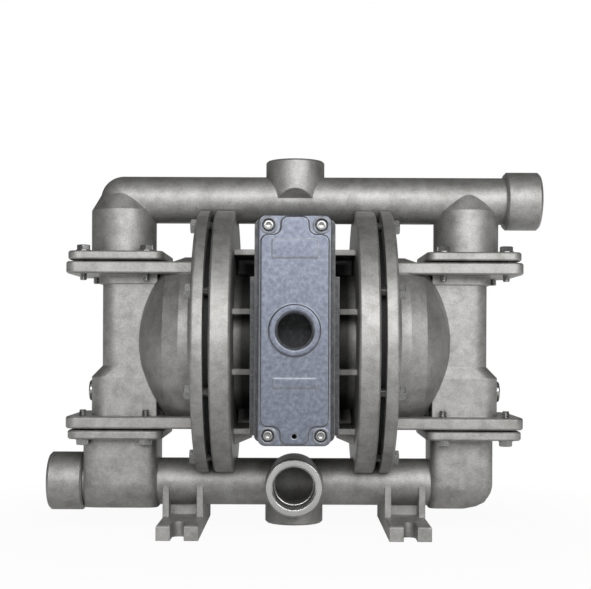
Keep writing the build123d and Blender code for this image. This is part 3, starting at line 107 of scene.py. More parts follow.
def length_property(name, millimetres, description):
    return bpy.props.FloatProperty(
        name=name,
        description=description,
        default=millimetres * MM,
        subtype="DISTANCE",
        unit="LENGTH",
        precision=5,
    )


def colour_property(name, code, description):
    return bpy.props.StringProperty(name=name, description=description, default=code)


def share_property(name, value, description):
    return bpy.props.FloatProperty(
        name=name, description=description, default=value, min=0.0, max=1.0, subtype="FACTOR"
    )


def number_property(name, value, description, **kind):
    return bpy.props.FloatProperty(name=name, description=description, default=value, **kind)


class PumpFinishes(bpy.types.PropertyGroup):
    """Colours of the pump's finishes, as sRGB hex codes, and how rough the blasting is."""

    cast_steel: colour_property("Cast steel", "A6A5A3", "Bead-blasted cast stainless steel")
    cast_stain: colour_property("Cast shade", "93928F", "Darker patches that blasting leaves")
    machined_steel: colour_property("Machined steel", "C0C0BF", "Turned faces and port bores")
    cast_aluminium: colour_property("Cast aluminium", "6D727F", "Blasted die-cast plate")
    # Painted shade: the centre block is a darker copy of the plate's aluminium, standing for the shade it lies in.
    centre_block_painted_shade: colour_property("Centre block", "4A4B4D", "Sand-cast block behind the plate")
    # Painted shade: this colour darkens the casting between the discs, where shade falls.
    painted_recess: colour_property("Recess shade", "6C6B6B", "Shade that darkens the casting between the discs")
    fastener: colour_property("Fasteners", "9C9C9B", "Plated bolts and screws")
    rubber: colour_property("Rubber", "121214", "Diaphragms and seals")
    gasket: colour_property("Gasket", "303032", "Pressed gasket sheet")
    fluoropolymer: colour_property("Balls", "E8E8E4", "Turned white balls")
    bronze: colour_property("Bronze", "A9814A", "Turned bushes")
    ground_steel: colour_property("Ground shaft", "BFC1C4", "Ground and polished shaft and spools")
    cast_metallic: share_property("Cast metallic", 0.80, "How far the blasted casting mirrors as metal")
    cast_roughness: share_property("Cast roughness", 0.54, "Roughness of the blasted casting")
    blast_grain: length_property("Blast grain", 1.3, "Spacing of the pits left by blasting")
    cast_mottle: length_property("Cast mottle", 16.0, "Size of the casting's darker patches")
    edge_round: length_property("Edge round", 1.2, "Radius that casting and blasting give to edges")


class PumpThreads(bpy.types.PropertyGroup):
    """Threads cut in the ports."""

    pipe_pitch: length_property("Pipe thread pitch", 2.309, "Eleven threads to the inch")
    air_pitch: length_property("Air thread pitch", 1.814, "Fourteen threads to the inch")
    crest: length_property("Crest height", 0.7, "How far the crests stand in from the bore")


class PumpFasteners(bpy.types.PropertyGroup):
    """Bolts of the manifolds and the clamp flanges, and the plate's cap screws."""

    joint_across: length_property("Manifold bolt hexagon", 13.0, "Across the flats of the manifold bolts")
    joint_head: length_property("Manifold bolt head", 5.3, "Height of the manifold bolts' heads")
    joint_washer: length_property("Washer thickness", 1.6, "Thickness of the manifold bolts' washers")
    joint_washer_radius: length_property("Washer radius", 8.0, "Radius of the manifold bolts' washers")
    joint_shank: length_property("Manifold bolt shank", 4.0, "Radius of the manifold bolts' shanks")
    joint_pitch: length_property("Manifold bolt pitch", 1.25, "Thread pitch of the manifold bolts")
    clamp_across: length_property("Clamp bolt hexagon", 14.5, "Across the flats of the clamp bolts")
    clamp_head: length_property("Clamp bolt head", 6.4, "Height of the clamp bolts' heads")
    clamp_shank: length_property("Clamp bolt shank", 5.0, "Radius of the clamp bolts' shanks")
    clamp_pitch: length_property("Clamp bolt pitch", 1.5, "Thread pitch of the clamp bolts")
    thread_depth: length_property("Thread depth", 0.55, "Depth of the bolts' threads")
    cap_radius: length_property("Cap screw head radius", 5.0, "Radius of the plate screws' heads")
    cap_head: length_property("Cap screw head", 6.0, "Height of the plate screws' heads")
    cap_socket: length_property("Cap screw socket", 5.0, "Across the flats of the sockets")
    cap_depth: length_property("Cap screw socket depth", 3.2, "Depth of the sockets")
    cap_shank: length_property("Cap screw shank", 3.0, "Radius of the plate screws' shanks")


class PumpCasting(bpy.types.PropertyGroup):
    """Webs of the air chambers, bodies of the lower pipe's ends, and the domes' skins."""

    web_inner: length_property("Web root", 39.0, "Inner end of the webs, from the middle of the pump")
    web_outer: length_property("Web end", 65.5, "Outer end of the webs, in the round flange")
    web_depth: length_property("Web place", 30.0, "Where the webs stand, behind the shaft")
    web_thickness: length_property("Web thickness", 7.0, "Thickness of the webs")
    dome_centre: length_property("Dome centre", 46.0, "Where the domes\' arcs are struck from")
    dome_radius: length_property("Dome radius", 128.15, "Radius of the domes' even skins")
    dome_skin: length_property("Dome skin", 0.8, "Thickness of the skins")
    dome_crease: length_property("Dome crease", 88.0, "Distance from the axis where the domes end")
    dome_height: length_property("Dome height", 208.0, "Height of the shaft's axis")
    tee_place: length_property("Tee place", -191.0, "Middle of the inlet tee, along the pipe")
    tee_half_width: length_property("Tee half width", 40.8, "Half the width of the inlet tee")
    tee_half_depth: length_property("Tee half depth", 40.9, "Half the depth of the inlet tee")
    elbow_place: length_property("Elbow place", 184.0, "Middle of the inlet elbow, along the pipe")
    elbow_half_width: length_property("Elbow half width", 34.8, "Half the width of the inlet elbow")
    elbow_half_depth: length_property("Elbow half depth", 34.9, "Half the depth of the inlet elbow")
    elbow_corner: length_property("Elbow corner", 28.0, "Radius of the elbow's outer corner")
    body_bottom: length_property("Body bottom", 24.8, "Height of the tee's and the elbow's bottom")
    body_top: length_property("Body top", 103.2, "Where the bodies end, in their flanges")
    body_turn: length_property("Body turn", 54.0, "Below it the bodies' fronts turn under")


class PumpStage(bpy.types.PropertyGroup):
    """Floor, lamps and camera."""

    floor: colour_property("Floor", "D4D4D4", "Pale studio floor")
    key_power: number_property("Key lamp", 48.5, "Power of the front softbox", unit="POWER")
    fill_power: number_property("Fill lamp", 2.5, "Power of the high lamp", unit="POWER")
    ambient: share_property("Ambient", 0.06, "Level of the studio's stray light")
    shadow_reach: length_property("Shadow reach", 620.0, "How far the floor\'s own shading shows")
    camera_distance: length_property("Camera distance", 1344.0, "From the shaft to the lens")
    camera_height: length_property("Camera height", 209.0, "Height of the lens above the floor")
    camera_yaw: number_property("Camera yaw", 0.0, "Turn of the camera round the pump", subtype="ANGLE")
    camera_roll: number_property("Camera roll", 0.00436, "Roll of the camera", subtype="ANGLE")
    shift_x: number_property("Shift across", 0.0015, "Lens shift across the frame")
    shift_y: number_property("Shift up", 0.0787, "Lens shift up the frame")
    focal_length: number_property("Focal length", 73.1, "Lens in millimetres")


def group_property(group, name, description):
    return bpy.props.PointerProperty(type=group, name=name, description=description)


class PumpSettings(bpy.types.PropertyGroup):
    """All settings of the pump."""

    finishes: group_property(PumpFinishes, "Finishes", "Colours and blasting")
    threads: group_property(PumpThreads, "Threads", "Threads of the ports")
    fasteners: group_property(PumpFasteners, "Fasteners", "Bolts and screws")
    casting: group_property(PumpCasting, "Casting", "Webs, bodies and domes")
    stage: group_property(PumpStage, "Stage", "Floor, lamps and camera")


def settings():
    return bpy.context.scene.diaphragm_pump


# ---------------------------------------------------------------------------
# Materials
# ---------------------------------------------------------------------------


def linear(code):
    """Turns an sRGB hex code into Blender's linear colour."""
    channels = np.array([int(code[i : i + 2], 16) / 255 for i in (0, 2, 4)])
    low, high = channels / 12.92, ((channels + 0.055) / 1.055) ** 2.4
    return (*np.where(channels <= 0.04045, low, high), 1.0)


def add_node(tree, kind, links=(), **values):
    """Adds one node. Values set its properties or inputs, and links are (input, source socket) pairs."""
    node = tree.nodes.new(kind)
    for key, value in values.items():
        if key in node.bl_rna.properties.keys():
            setattr(node, key, value)
        else:
            node.inputs[key.replace("_", " ")].default_value = value
    for name, source in links:
        tree.links.new(source, node.inputs[name])
    return node


def new_material(name):
    material = bpy.data.materials.new(name)
    material.use_nodes = True
    tree = material.node_tree
    tree.nodes.clear()
    return material, tree


def close_material(tree, shader):
    output = add_node(tree, "ShaderNodeOutputMaterial")
    tree.links.new(shader.outputs[0], output.inputs["Surface"])


def object_coordinates(tree):
    return add_node(tree, "ShaderNodeTexCoord").outputs["Object"]


def ramp_node(tree, source, stops):
    """Colour ramp over (position, hex code) stops."""
    node = add_node(tree, "ShaderNodeValToRGB", [("Fac", source)])
    ramp = node.color_ramp
    while len(ramp.elements) < len(stops):
        ramp.elements.new(0.5)
    for element, (position, code) in zip(ramp.elements, stops):
        element.position = position
        element.color = linear(code)
    return node


def blend_codes(first, second, share):
    """Hex code part of the way from one code to another."""
    pairs = [(int(first[i : i + 2], 16), int(second[i : i + 2], 16)) for i in (0, 2, 4)]
    return "".join(f"{round(a + (b - a) * share):02X}" for a, b in pairs)


def math_node(tree, operation, first, second, clamp=False):
    """Result of a calculation on two sources or numbers."""
    node = add_node(tree, "ShaderNodeMath", operation=operation, use_clamp=clamp)
    for socket, value in zip(node.inputs, (first, second)):
        if isinstance(value, (int, float)):
            socket.default_value = value
        else:
            tree.links.new(value, socket)
    return node.outputs[0]


def machined_share(tree, place):
    """1 on the turned faces and in the bores of the pipe ports, 0 on the rough casting.

    A point is turned where it lies past a port's face less the depth of its skin, or nearer than the chamfer's
    radius to the port's axis, and in both cases within reach of the port.
    """
    total = 0.0
    for name in PIPE_PORTS:
        mount = MOUNTS[name]
        axis = np.array(mount["axis"], float)
        half_length = mount["dims"]["length_mm"] * MM / 2
        face = np.dot(mount["pos_m"], axis) + half_length + PORT_CHAMFER
        along = add_node(tree, "ShaderNodeVectorMath", [(0, place)], operation="DOT_PRODUCT")
        along.inputs[1].default_value = axis
        offset = add_node(tree, "ShaderNodeVectorMath", [(0, place)], operation="SUBTRACT")
        offset.inputs[1].default_value = mount["pos_m"]
        across = add_node(tree, "ShaderNodeVectorMath", [(0, offset.outputs[0])], operation="MULTIPLY")
        across.inputs[1].default_value = 1 - np.abs(axis)
        distance = add_node(tree, "ShaderNodeVectorMath", [(0, across.outputs[0])], operation="LENGTH")
        past_face = math_node(tree, "GREATER_THAN", along.outputs["Value"], float(face - PORT_SKIN))
        in_reach = math_node(tree, "LESS_THAN", distance.outputs["Value"], PORT_REACH)
        on_face = math_node(tree, "MULTIPLY", past_face, in_reach)
        in_bore = math_node(
            tree, "LESS_THAN", distance.outputs["Value"], mount["dims"]["r_mm"] * MM + BORE_MARGIN + PORT_CHAMFER
        )
        near = math_node(tree, "GREATER_THAN", along.outputs["Value"], float(face - 2 * half_length - BORE_END))
        deep = math_node(tree, "MULTIPLY", in_bore, near)
        either = math_node(tree, "MAXIMUM", on_face, deep)
        total = either if isinstance(total, float) else math_node(tree, "MAXIMUM", total, either)
    return total


def painted_shade_share(tree, place):
    """Share of the painted shade: 1 deep between the round discs, falling to 0 outside them."""
    split = add_node(tree, "ShaderNodeSeparateXYZ", [(0, place)])
    beside = math_node(tree, "ABSOLUTE", split.outputs["X"], 0.0)
    rise = math_node(tree, "SUBTRACT", split.outputs["Z"], settings().casting.dome_height)
    level = math_node(tree, "ABSOLUTE", rise, 0.0)
    shares = [
        add_node(tree, "ShaderNodeMapRange", [("Value", source)], From_Min=start, From_Max=full).outputs[0]
        for source, (start, full) in ((beside, PAINTED_SHADE_X), (split.outputs["Y"], PAINTED_SHADE_Y), (level, PAINTED_SHADE_Z))
    ]
    first = math_node(tree, "MULTIPLY", shares[0], shares[1])
    return math_node(tree, "MULTIPLY", first, shares[2])


def bead_blasted_cast_steel():
    """Investment-cast stainless steel, bead blasted: a warm matt grey with fine pits, soft darker patches and
    painted shade between the discs.

    The pipe ports' faces and bores are turned: lighter and smoother.
    """
    finish = settings().finishes
    material, tree = new_material("bead_blasted_cast_steel")
    place = object_coordinates(tree)
    patches = add_node(
        tree, "ShaderNodeTexNoise", [("Vector", place)], Scale=1 / finish.cast_mottle, Detail=6.0, Roughness=0.68
    )
    pits = add_node(
        tree, "ShaderNodeTexNoise", [("Vector", place)], Scale=1 / finish.blast_grain, Detail=2.0, Roughness=0.7
    )
    colour = ramp_node(
        tree,
        patches.outputs["Fac"],
        [
            (0.36, finish.cast_stain),
            (0.54, finish.cast_steel),
            (0.70, blend_codes(finish.cast_steel, "FFFFFF", 0.10)),
        ],
    )
    grain = ramp_node(tree, pits.outputs["Fac"], [(0.28, "DEDEDE"), (0.62, "FFFFFF")])
    tint = add_node(tree, "ShaderNodeMix", data_type="RGBA", blend_type="MULTIPLY")
    tint.inputs[0].default_value = 1.0
    tree.links.new(colour.outputs["Color"], tint.inputs[6])
    tree.links.new(grain.outputs["Color"], tint.inputs[7])
    # Painted shade: the colour is multiplied towards the shade colour between the discs.
    shade = add_node(tree, "ShaderNodeMix", data_type="RGBA", blend_type="MULTIPLY")
    tree.links.new(painted_shade_share(tree, place), shade.inputs[0])
    tree.links.new(tint.outputs[2], shade.inputs[6])
    shade.inputs[7].default_value = linear(finish.painted_recess)
    turned = machined_share(tree, place)
    base = add_node(tree, "ShaderNodeMix", data_type="RGBA")
    tree.links.new(turned, base.inputs[0])
    tree.links.new(shade.outputs[2], base.inputs[6])
    base.inputs[7].default_value = linear(finish.machined_steel)
    rough, metal, depth = (
        add_node(tree, "ShaderNodeMapRange", [("Value", turned)], To_Min=cast, To_Max=smooth)
        for cast, smooth in (
            (finish.cast_roughness, TURNED_ROUGHNESS),
            (finish.cast_metallic, TURNED_METALLIC),
            (BLASTED_RELIEF, TURNED_RELIEF),
        )
    )
    rounded = add_node(tree, "ShaderNodeBevel", Radius=finish.edge_round)
    rounded.samples = 6
    relief = add_node(
        tree,
        "ShaderNodeBump",
        [("Height", pits.outputs["Fac"]), ("Normal", rounded.outputs["Normal"]), ("Strength", depth.outputs[0])],
        Distance=0.16 * MM,
    )
    shader = add_node(
        tree,
        "ShaderNodeBsdfPrincipled",
        [
            ("Base Color", base.outputs[2]),
            ("Normal", relief.outputs["Normal"]),
            ("Roughness", rough.outputs[0]),
            ("Metallic", metal.outputs[0]),
        ],
    )
    close_material(tree, shader)
    return material


def blasted_cast_aluminium(name, code, edge):
    """Cast aluminium, shot blasted: cooler and smoother than the steel, finely mottled, with a painted highlight
    that lightens its edges.
    """
    material, tree = new_material(name)
    place = object_coordinates(tree)
    patches = add_node(
        tree, "ShaderNodeTexNoise", [("Vector", place)], Scale=1 / (4.5 * MM), Detail=6.0, Roughness=0.62
    )
    pits = add_node(
        tree, "ShaderNodeTexNoise", [("Vector", place)], Scale=1 / (0.9 * MM), Detail=2.0, Roughness=0.6
    )
    colour = ramp_node(
        tree,
        patches.outputs["Fac"],
        [(0.34, blend_codes(code, "000000", 0.12)), (0.5, code), (0.68, blend_codes(code, "FFFFFF", 0.12))],
    )
    rounded = add_node(tree, "ShaderNodeBevel", Radius=edge)
    rounded.samples = 8
    true_normal = add_node(tree, "ShaderNodeNewGeometry")
    agree = add_node(
        tree,
        "ShaderNodeVectorMath",
        [(0, rounded.outputs["Normal"]), (1, true_normal.outputs["Normal"])],
        operation="DOT_PRODUCT",
    )
    # Painted highlight: the colour turns lighter on the edges, where the rounded normal leaves the true one.
    edge_highlight_share = add_node(
        tree,
        "ShaderNodeMapRange",
        [("Value", agree.outputs["Value"])],
        From_Min=0.985,
        From_Max=0.88,
        To_Max=0.55,
    )
    edge_highlighted = add_node(tree, "ShaderNodeMix", data_type="RGBA")
    tree.links.new(edge_highlight_share.outputs[0], edge_highlighted.inputs[0])
    tree.links.new(colour.outputs["Color"], edge_highlighted.inputs[6])
    edge_highlighted.inputs[7].default_value = linear(EDGE_HIGHLIGHT)
    relief = add_node(
        tree,
        "ShaderNodeBump",
        [("Height", pits.outputs["Fac"]), ("Normal", rounded.outputs["Normal"])],
        Strength=0.3,
        Distance=0.1 * MM,
    )
    shader = add_node(
        tree,
        "ShaderNodeBsdfPrincipled",
        [("Base Color", edge_highlighted.outputs[2]), ("Normal", relief.outputs["Normal"])],
        Metallic=0.8,
        Roughness=0.42,
    )
    close_material(tree, shader)
    return material


def plain_finish(name, code, metallic, roughness, grain, share, height):
    """A turned, moulded or ground surface with a fine grain of the given spacing that shades and roughens it."""
    material, tree = new_material(name)
    place = object_coordinates(tree)
    noise = add_node(tree, "ShaderNodeTexNoise", [("Vector", place)], Scale=1 / grain, Detail=4.0, Roughness=0.6)
    stops = [(0.3, blend_codes(code, "000000", share)), (0.7, blend_codes(code, "FFFFFF", share / 2))]
    colour = ramp_node(tree, noise.outputs["Fac"], stops)
    rough = add_node(
        tree,
        "ShaderNodeMapRange",
        [("Value", noise.outputs["Fac"])],
        To_Min=max(roughness - 0.08, 0.02),
        To_Max=min(roughness + 0.08, 1.0),
    )
    relief = add_node(tree, "ShaderNodeBump", [("Height", noise.outputs["Fac"])], Strength=0.2, Distance=height)
    shader = add_node(
        tree,
        "ShaderNodeBsdfPrincipled",
        [
            ("Base Color", colour.outputs["Color"]),
            ("Roughness", rough.outputs["Result"]),
            ("Normal", relief.outputs["Normal"]),
        ],
        Metallic=metallic,
    )
    close_material(tree, shader)
    return material


# Slot: (material name, settings' colour, metallic, roughness, grain in mm, colour share, relief in mm)
PLAIN_FINISHES = {
    "bright_fastener": ("zinc_plated_fastener", "fastener", 0.9, 0.27, 2.5, 0.12, 0.03),
    "black_rubber": ("moulded_black_rubber", "rubber", 0.0, 0.6, 1.5, 0.2, 0.05),
    "gasket_sheet": ("pressed_gasket_sheet", "gasket", 0.0, 0.75, 0.8, 0.25, 0.05),
    "white_ptfe": ("turned_fluoropolymer", "fluoropolymer", 0.0, 0.4, 3.0, 0.05, 0.01),
    "bronze_bush": ("turned_bronze", "bronze", 1.0, 0.3, 1.0, 0.1, 0.01),
    "ground_shaft": ("ground_steel", "ground_steel", 1.0, 0.18, 0.8, 0.06, 0.005),
    "machined_steel": ("machined_port_steel", "machined_steel", 0.9, 0.34, 1.2, 0.08, 0.02),
}


def make_finishes():
    """One material for each slot of the record, plus the centre block's painted-shade aluminium and the threads'
    machined steel.
    """
    finish = settings().finishes
    made = {
        "cast_steel": bead_blasted_cast_steel(),
        "cast_aluminium": blasted_cast_aluminium("blasted_cast_aluminium", finish.cast_aluminium, 2.2 * MM),
        # The centre block: the same aluminium made darker, as painted shade.
        "centre_block_painted_shade": blasted_cast_aluminium("sand_cast_aluminium", finish.centre_block_painted_shade, 1.2 * MM),
    }
    for slot_name, (name, colour, metallic, roughness, grain, share, height) in PLAIN_FINISHES.items():
        made[slot_name] = plain_finish(
            name, getattr(finish, colour), metallic, roughness, grain * MM, share, height * MM
        )
    return made


def finish_for(slot_name):
    """The material made for a slot by the finishes operator."""
    found = [m for m in bpy.data.materials if m.get("pump_slot") == slot_name]
    if not found:
        raise RuntimeError(f"no finish made for slot {slot_name}: run the finishes operator first")
    return found[0]


# ---------------------------------------------------------------------------
# Surfaces worked out with numpy
# ---------------------------------------------------------------------------


def grid_faces(rows, columns, offset, closed):
    """Quads between neighbouring rows of a grid; the last column joins the first when closed."""
    row, column = np.meshgrid(np.arange(rows - 1), np.arange(columns - (0 if closed else 1)), indexing="ij")
    after = (column + 1) % columns
    below, above = row * columns, (row + 1) * columns
    corners = [below + column, below + after, above + after, above + column]
    return np.stack(corners, axis=-1).reshape(-1, 4) + offset


def mesh_piece(name, points, faces, material, body, smooth_angle=30.0):
    """A mesh object from arrays of points and quads, shaded smooth below an angle, riding on a body."""
    mesh = bpy.data.meshes.new(name)
    mesh.vertices.add(len(points))
    mesh.vertices.foreach_set("co", points.ravel())
    mesh.loops.add(faces.size)
    mesh.loops.foreach_set("vertex_index", faces.ravel())
    mesh.polygons.add(len(faces))
    mesh.polygons.foreach_set("loop_start", np.arange(len(faces)) * 4)
    mesh.update()
    shell = bmesh.new()
    shell.from_mesh(mesh)
    bmesh.ops.remove_doubles(shell, verts=shell.verts, dist=0.002 * MM)
    bmesh.ops.recalc_face_normals(shell, faces=shell.faces)
    shell.to_mesh(mesh)
    shell.free()
    mesh.shade_smooth()
    mesh.set_sharp_from_angle(angle=math.radians(smooth_angle))
    mesh.materials.append(material)
    piece = bpy.data.objects.new(name, mesh)
    bpy.context.scene.collection.objects.link(piece)
    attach(piece, body)
    return piece


def axis_frame(axis):
    """Three unit vectors, the third along the axis given."""
    third = np.array(axis, float)
    third /= np.linalg.norm(third)
    helper = np.array([0.0, 0.0, 1.0]) if abs(third[2]) < 0.9 else np.array([1.0, 0.0, 0.0])
    first = np.cross(helper, third)
    first /= np.linalg.norm(first)
    return first, np.cross(third, first), third


def place_on_axis(radius, angle, height, origin, axis):
    """Points at a radius, angle and height of the cylinder whose axis passes through origin."""
    first, second, third = axis_frame(axis)
    return (
        np.array(origin)
        + (radius * np.cos(angle))[..., None] * first
        + (radius * np.sin(angle))[..., None] * second
        + height[..., None] * third
    )


def inner_thread(name, mount, pitch, crest, material):
    """Thread of a port, as one closed sleeve that lines the bore.

    The inner radius is the bore's radius less the crest height times a triangle wave of (height / pitch -
    angle / turn), faded out over the first and the last pitch. The back of the sleeve lies just inside the wall.
    """
    radius = mount["dims"]["r_mm"] * MM
    length = mount["dims"]["length_mm"] * MM
    steps = int(length / pitch * 8)
    columns = 96
    turn = np.linspace(0, FULL_TURN, columns, endpoint=False)
    angle, height = np.meshgrid(turn, np.linspace(-0.5, 0.5, steps) * length)
    phase = (height / pitch - angle / FULL_TURN) % 1.0
    wave = 1 - np.abs(2 * phase - 1)
    fade = np.clip((length / 2 - np.abs(height)) / pitch, 0, 1)
    inner = radius - 0.03 * MM - crest * wave * fade
    back = np.full_like(angle[:2], radius + 0.4 * MM)
    shape = np.concatenate([inner, back, inner[:1]])
    heights = np.concatenate([height, height[-1:], height[:1], height[:1]])
    angles = np.concatenate([angle, angle[:3]])
    points = place_on_axis(shape, angles, heights, mount["pos_m"], mount["axis"]).reshape(-1, 3)
    faces = grid_faces(len(shape), columns, 0, True)
    return mesh_piece(name, points, faces, material, "housing", 60.0)


def hexagon_radius(across_flats, angle):
    """Distance from the centre of a hexagon to its edge at an angle."""
    sector = FULL_TURN / 6
    return across_flats / 2 / np.cos((angle % sector) - sector / 2)


def bolt_surface(sizes, length, pitch, depth, origin, axis):
    """One closed surface of a hexagon bolt, from the tip of its thread up to the top of its head.

    The shank's radius falls by the thread's depth in a triangle wave of (height / pitch - angle / turn) and narrows
    at the tip. A washer of constant radius follows, then the head: at each height the smaller of the hexagon's
    radius and that of the cone which rounds off its corners.
    """
    across_flats, head, washer, washer_radius, shank = sizes
    columns = 48
    turn = np.linspace(0, FULL_TURN, columns, endpoint=False)
    shank_heights = np.linspace(-length, 0, int(length / pitch * 6) + 2)
    angle, height = np.meshgrid(turn, shank_heights)
    tip = np.clip((height + length) / pitch, 0, 1)
    wave = np.abs(2 * ((height / pitch - angle / FULL_TURN) % 1.0) - 1)
    thread = (shank - depth * wave) * (0.82 + 0.18 * tip)
    edge = 0.25 * MM
    rings = []
    if washer:
        rings = [
            (washer_radius - edge, 0.0), (washer_radius, edge),
            (washer_radius, washer - edge), (washer_radius - edge, washer),
        ]
    levels = np.array([0.0, 0.12, 0.5, 0.76, 0.84, 0.92, 1.0, 1.0])
    shares = np.array([1.0, 1.0, 1.0, 1.0, 1.0, 1.0, 1.0, 0.55])
    angle_head, level = np.meshgrid(turn, levels)
    cone = across_flats * 0.5 * (0.95 + (1.0 - level) * head / across_flats * 3.4)
    head_radius = np.minimum(hexagon_radius(across_flats, angle_head), cone) * shares[:, None]
    washer_rows = [np.full(columns, value) for value, _ in rings]
    radius = np.vstack([np.zeros(columns), thread, *washer_rows, head_radius, np.zeros(columns)])
    ring_heights = [rise for _, rise in rings]
    heights = np.concatenate([[-length], shank_heights, ring_heights, washer + levels * head, [washer + head]])
    angles = np.broadcast_to(turn, radius.shape)
    points = place_on_axis(radius, angles, np.broadcast_to(heights[:, None], radius.shape), origin, axis)
    return points.reshape(-1, 3), grid_faces(len(radius), columns, 0, True)


def socket_screw(radius, head, socket, depth, shank, length, origin, axis):
    """One closed surface of a cap screw: shank, round head with a rounded edge, and a hexagonal socket in its top.

    Going up, the radius is the shank's, then the head's; going back down inside, it is the hexagon's.
    """
    columns = 48
    turn = np.linspace(0, FULL_TURN, columns, endpoint=False)
    edge = 0.16 * radius
    bend = np.linspace(0, math.pi / 2, 5)
    outer = [(0.0, -length), (shank * 0.8, -length), (shank, -length + 0.8 * MM), (shank, 0.0), (radius, 0.0)]
    outer += [(radius - edge + edge * math.cos(t), head - edge + edge * math.sin(t)) for t in bend]
    rows = [(np.full(columns, value), height) for value, height in outer]
    hexagon = hexagon_radius(socket, turn)
    rows += [(hexagon + 0.5 * MM, head), (hexagon, head - 0.5 * MM), (hexagon, head - depth)]
    rows += [(hexagon * 0.0, head - depth - 0.8 * MM)]
    radii = np.array([row[0] for row in rows])
    heights = np.broadcast_to(np.array([row[1] for row in rows])[:, None], radii.shape)
    points = place_on_axis(radii, np.broadcast_to(turn, radii.shape), heights, origin, axis)
    return points.reshape(-1, 3), grid_faces(len(radii), columns, 0, True)


def flow_body(centre, half_width, half_depth, bottom, top, turn_height, corner, outer_side):
    """Box-shaped body of a tee or elbow, whose plan is a superellipse of the sixth degree.

    At an angle the plan's point is the half width times cos^(1/3) and the half depth times sin^(1/3). Below the
    turn height the depth shrinks with the square of the drop, and the outer side follows the corner's circle.
    """
    heights = np.concatenate([[bottom], np.linspace(bottom, turn_height, BODY_ROWS), [top, top]])
    angle, height = np.meshgrid(np.linspace(0, FULL_TURN, BODY_COLUMNS, endpoint=False), heights)
    drop = np.clip((turn_height - height) / (turn_height - bottom), 0, 1)
    below = np.clip(bottom + corner - height, 0, corner)
    cut = corner - np.sqrt(corner**2 - below**2) if corner else 0.0 * height
    cosine, sine = np.cos(angle), np.sin(angle)
    x = np.sign(cosine) * np.abs(cosine) ** (1 / 3) * (half_width - cut / 2) + centre - outer_side * cut / 2
    y = np.sign(sine) * np.abs(sine) ** (1 / 3) * half_depth * (1 - BODY_TURN_UNDER * drop**2)
    points = np.stack([x, y, height], axis=-1)
    points[0] = points[0].mean(axis=0)
    points[-1] = points[-1].mean(axis=0)
    return points.reshape(-1, 3), grid_faces(len(heights), BODY_COLUMNS, 0, True)


def dome_skin(centre, radius, thickness, crease, height, side):
    """Closed, even skin over a chamber's dome: the sphere's arc out to the crease, and back under it.

    At a distance r from the shaft's axis the skin stands at centre + sqrt(radius^2 - r^2) along it.
    """
    out = np.linspace(0.0, crease, DOME_ROWS)
    distance = np.concatenate([out, out[::-1]])
    sphere = np.repeat([radius, radius - thickness], DOME_ROWS)
    turn = np.linspace(0, FULL_TURN, DOME_COLUMNS, endpoint=False)
    reach = centre + np.sqrt(sphere**2 - distance**2)
    x = np.broadcast_to(side * reach[:, None], (2 * DOME_ROWS, DOME_COLUMNS))
    y = distance[:, None] * np.cos(turn)
    z = height + distance[:, None] * np.sin(turn)
    points = np.stack([x, y, z], axis=-1)
    return points.reshape(-1, 3), grid_faces(2 * DOME_ROWS, DOME_COLUMNS, 0, True)


def plate_between(low, high):
    """A rectangular plate with broken edges between two corners, as six sides and their chamfers.

    Each ring is the plate's rectangle in x and z, drawn in by the chamfer at its front and its rear, and the first
    and the last ring are its middle.
    """
    low, high = np.array(low), np.array(high)
    edge = min(high - low) * 0.12
    middle = (low + high) / 2
    rings = [np.stack([np.full(4, middle[0]), np.full(4, low[1]), np.full(4, middle[2])], axis=-1)]
    for depth, inset in ((low[1], edge), (low[1] + edge, 0.0), (high[1] - edge, 0.0), (high[1], edge)):
        across = np.array([low[0] + inset, high[0] - inset, high[0] - inset, low[0] + inset])
        upright = np.array([low[2] + inset, low[2] + inset, high[2] - inset, high[2] - inset])
        rings.append(np.stack([across, np.full(4, depth), upright], axis=-1))
    rings.append(np.stack([np.full(4, middle[0]), np.full(4, high[1]), np.full(4, middle[2])], axis=-1))
    return np.concatenate(rings), grid_faces(6, 4, 0, True)


def joined(parts):
    """One pair of arrays from several (points, faces) pairs."""
    points, faces, count = [], [], 0
    for part_points, part_faces in parts:
        points.append(part_points)
        faces.append(part_faces + count)
        count += len(part_points)
    return np.concatenate(points), np.concatenate(faces)


def solid_boxes(node):
    """Corners of each separate solid of a CAD node, worked out from vertices that share a place."""
    mesh = frame["nodes"][node].data
    points = np.empty(len(mesh.vertices) * 3, np.float64)
    mesh.vertices.foreach_get("co", points)
    points = points.reshape(-1, 3)
    corners = np.empty(len(mesh.loops), np.int64)
    mesh.loops.foreach_get("vertex_index", corners)
    _, merged = np.unique(np.round(points / (0.01 * MM)).astype(np.int64), axis=0, return_inverse=True)
    triangles = merged.ravel()[corners.reshape(-1, 3)]
    label = np.arange(merged.max() + 1)
    while True:
        lowest = label[triangles].min(axis=1)
        before = label.copy()
        np.minimum.at(label, triangles, lowest[:, None])
        label = label[label]
        if np.array_equal(before, label):
            break
    owner = label[merged.ravel()]
    return [
        (points[owner == group].min(axis=0), points[owner == group].max(axis=0)) for group in np.unique(owner)
    ]


def detailed_fasteners(node, axis_index, outward, head, surface, material):
    """Detailed bolts or screws in place of a CAD node, on the same axes and as long as its solids.

    Outward tells the way to the head from a solid's middle, head is the height above the seat, and surface makes
    the mesh of one from its length below the seat, the seat's place and the axis.
    """
    parts = []
    for low, high in solid_boxes(node):
        middle = (low + high) / 2
        axis = np.zeros(3)
        axis[axis_index] = outward(middle)
        top = high[axis_index] if axis[axis_index] > 0 else low[axis_index]
        seat = middle.copy()
        seat[axis_index] = top - axis[axis_index] * head
        length = high[axis_index] - low[axis_index] - head
        parts.append(surface(length, seat, axis))
    points, faces = joined(parts)
    piece = mesh_piece(node + "_detailed", points, faces, material, "housing", 35.0)
    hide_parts(node)
    return piece


# ---------------------------------------------------------------------------
# Operators
# ---------------------------------------------------------------------------


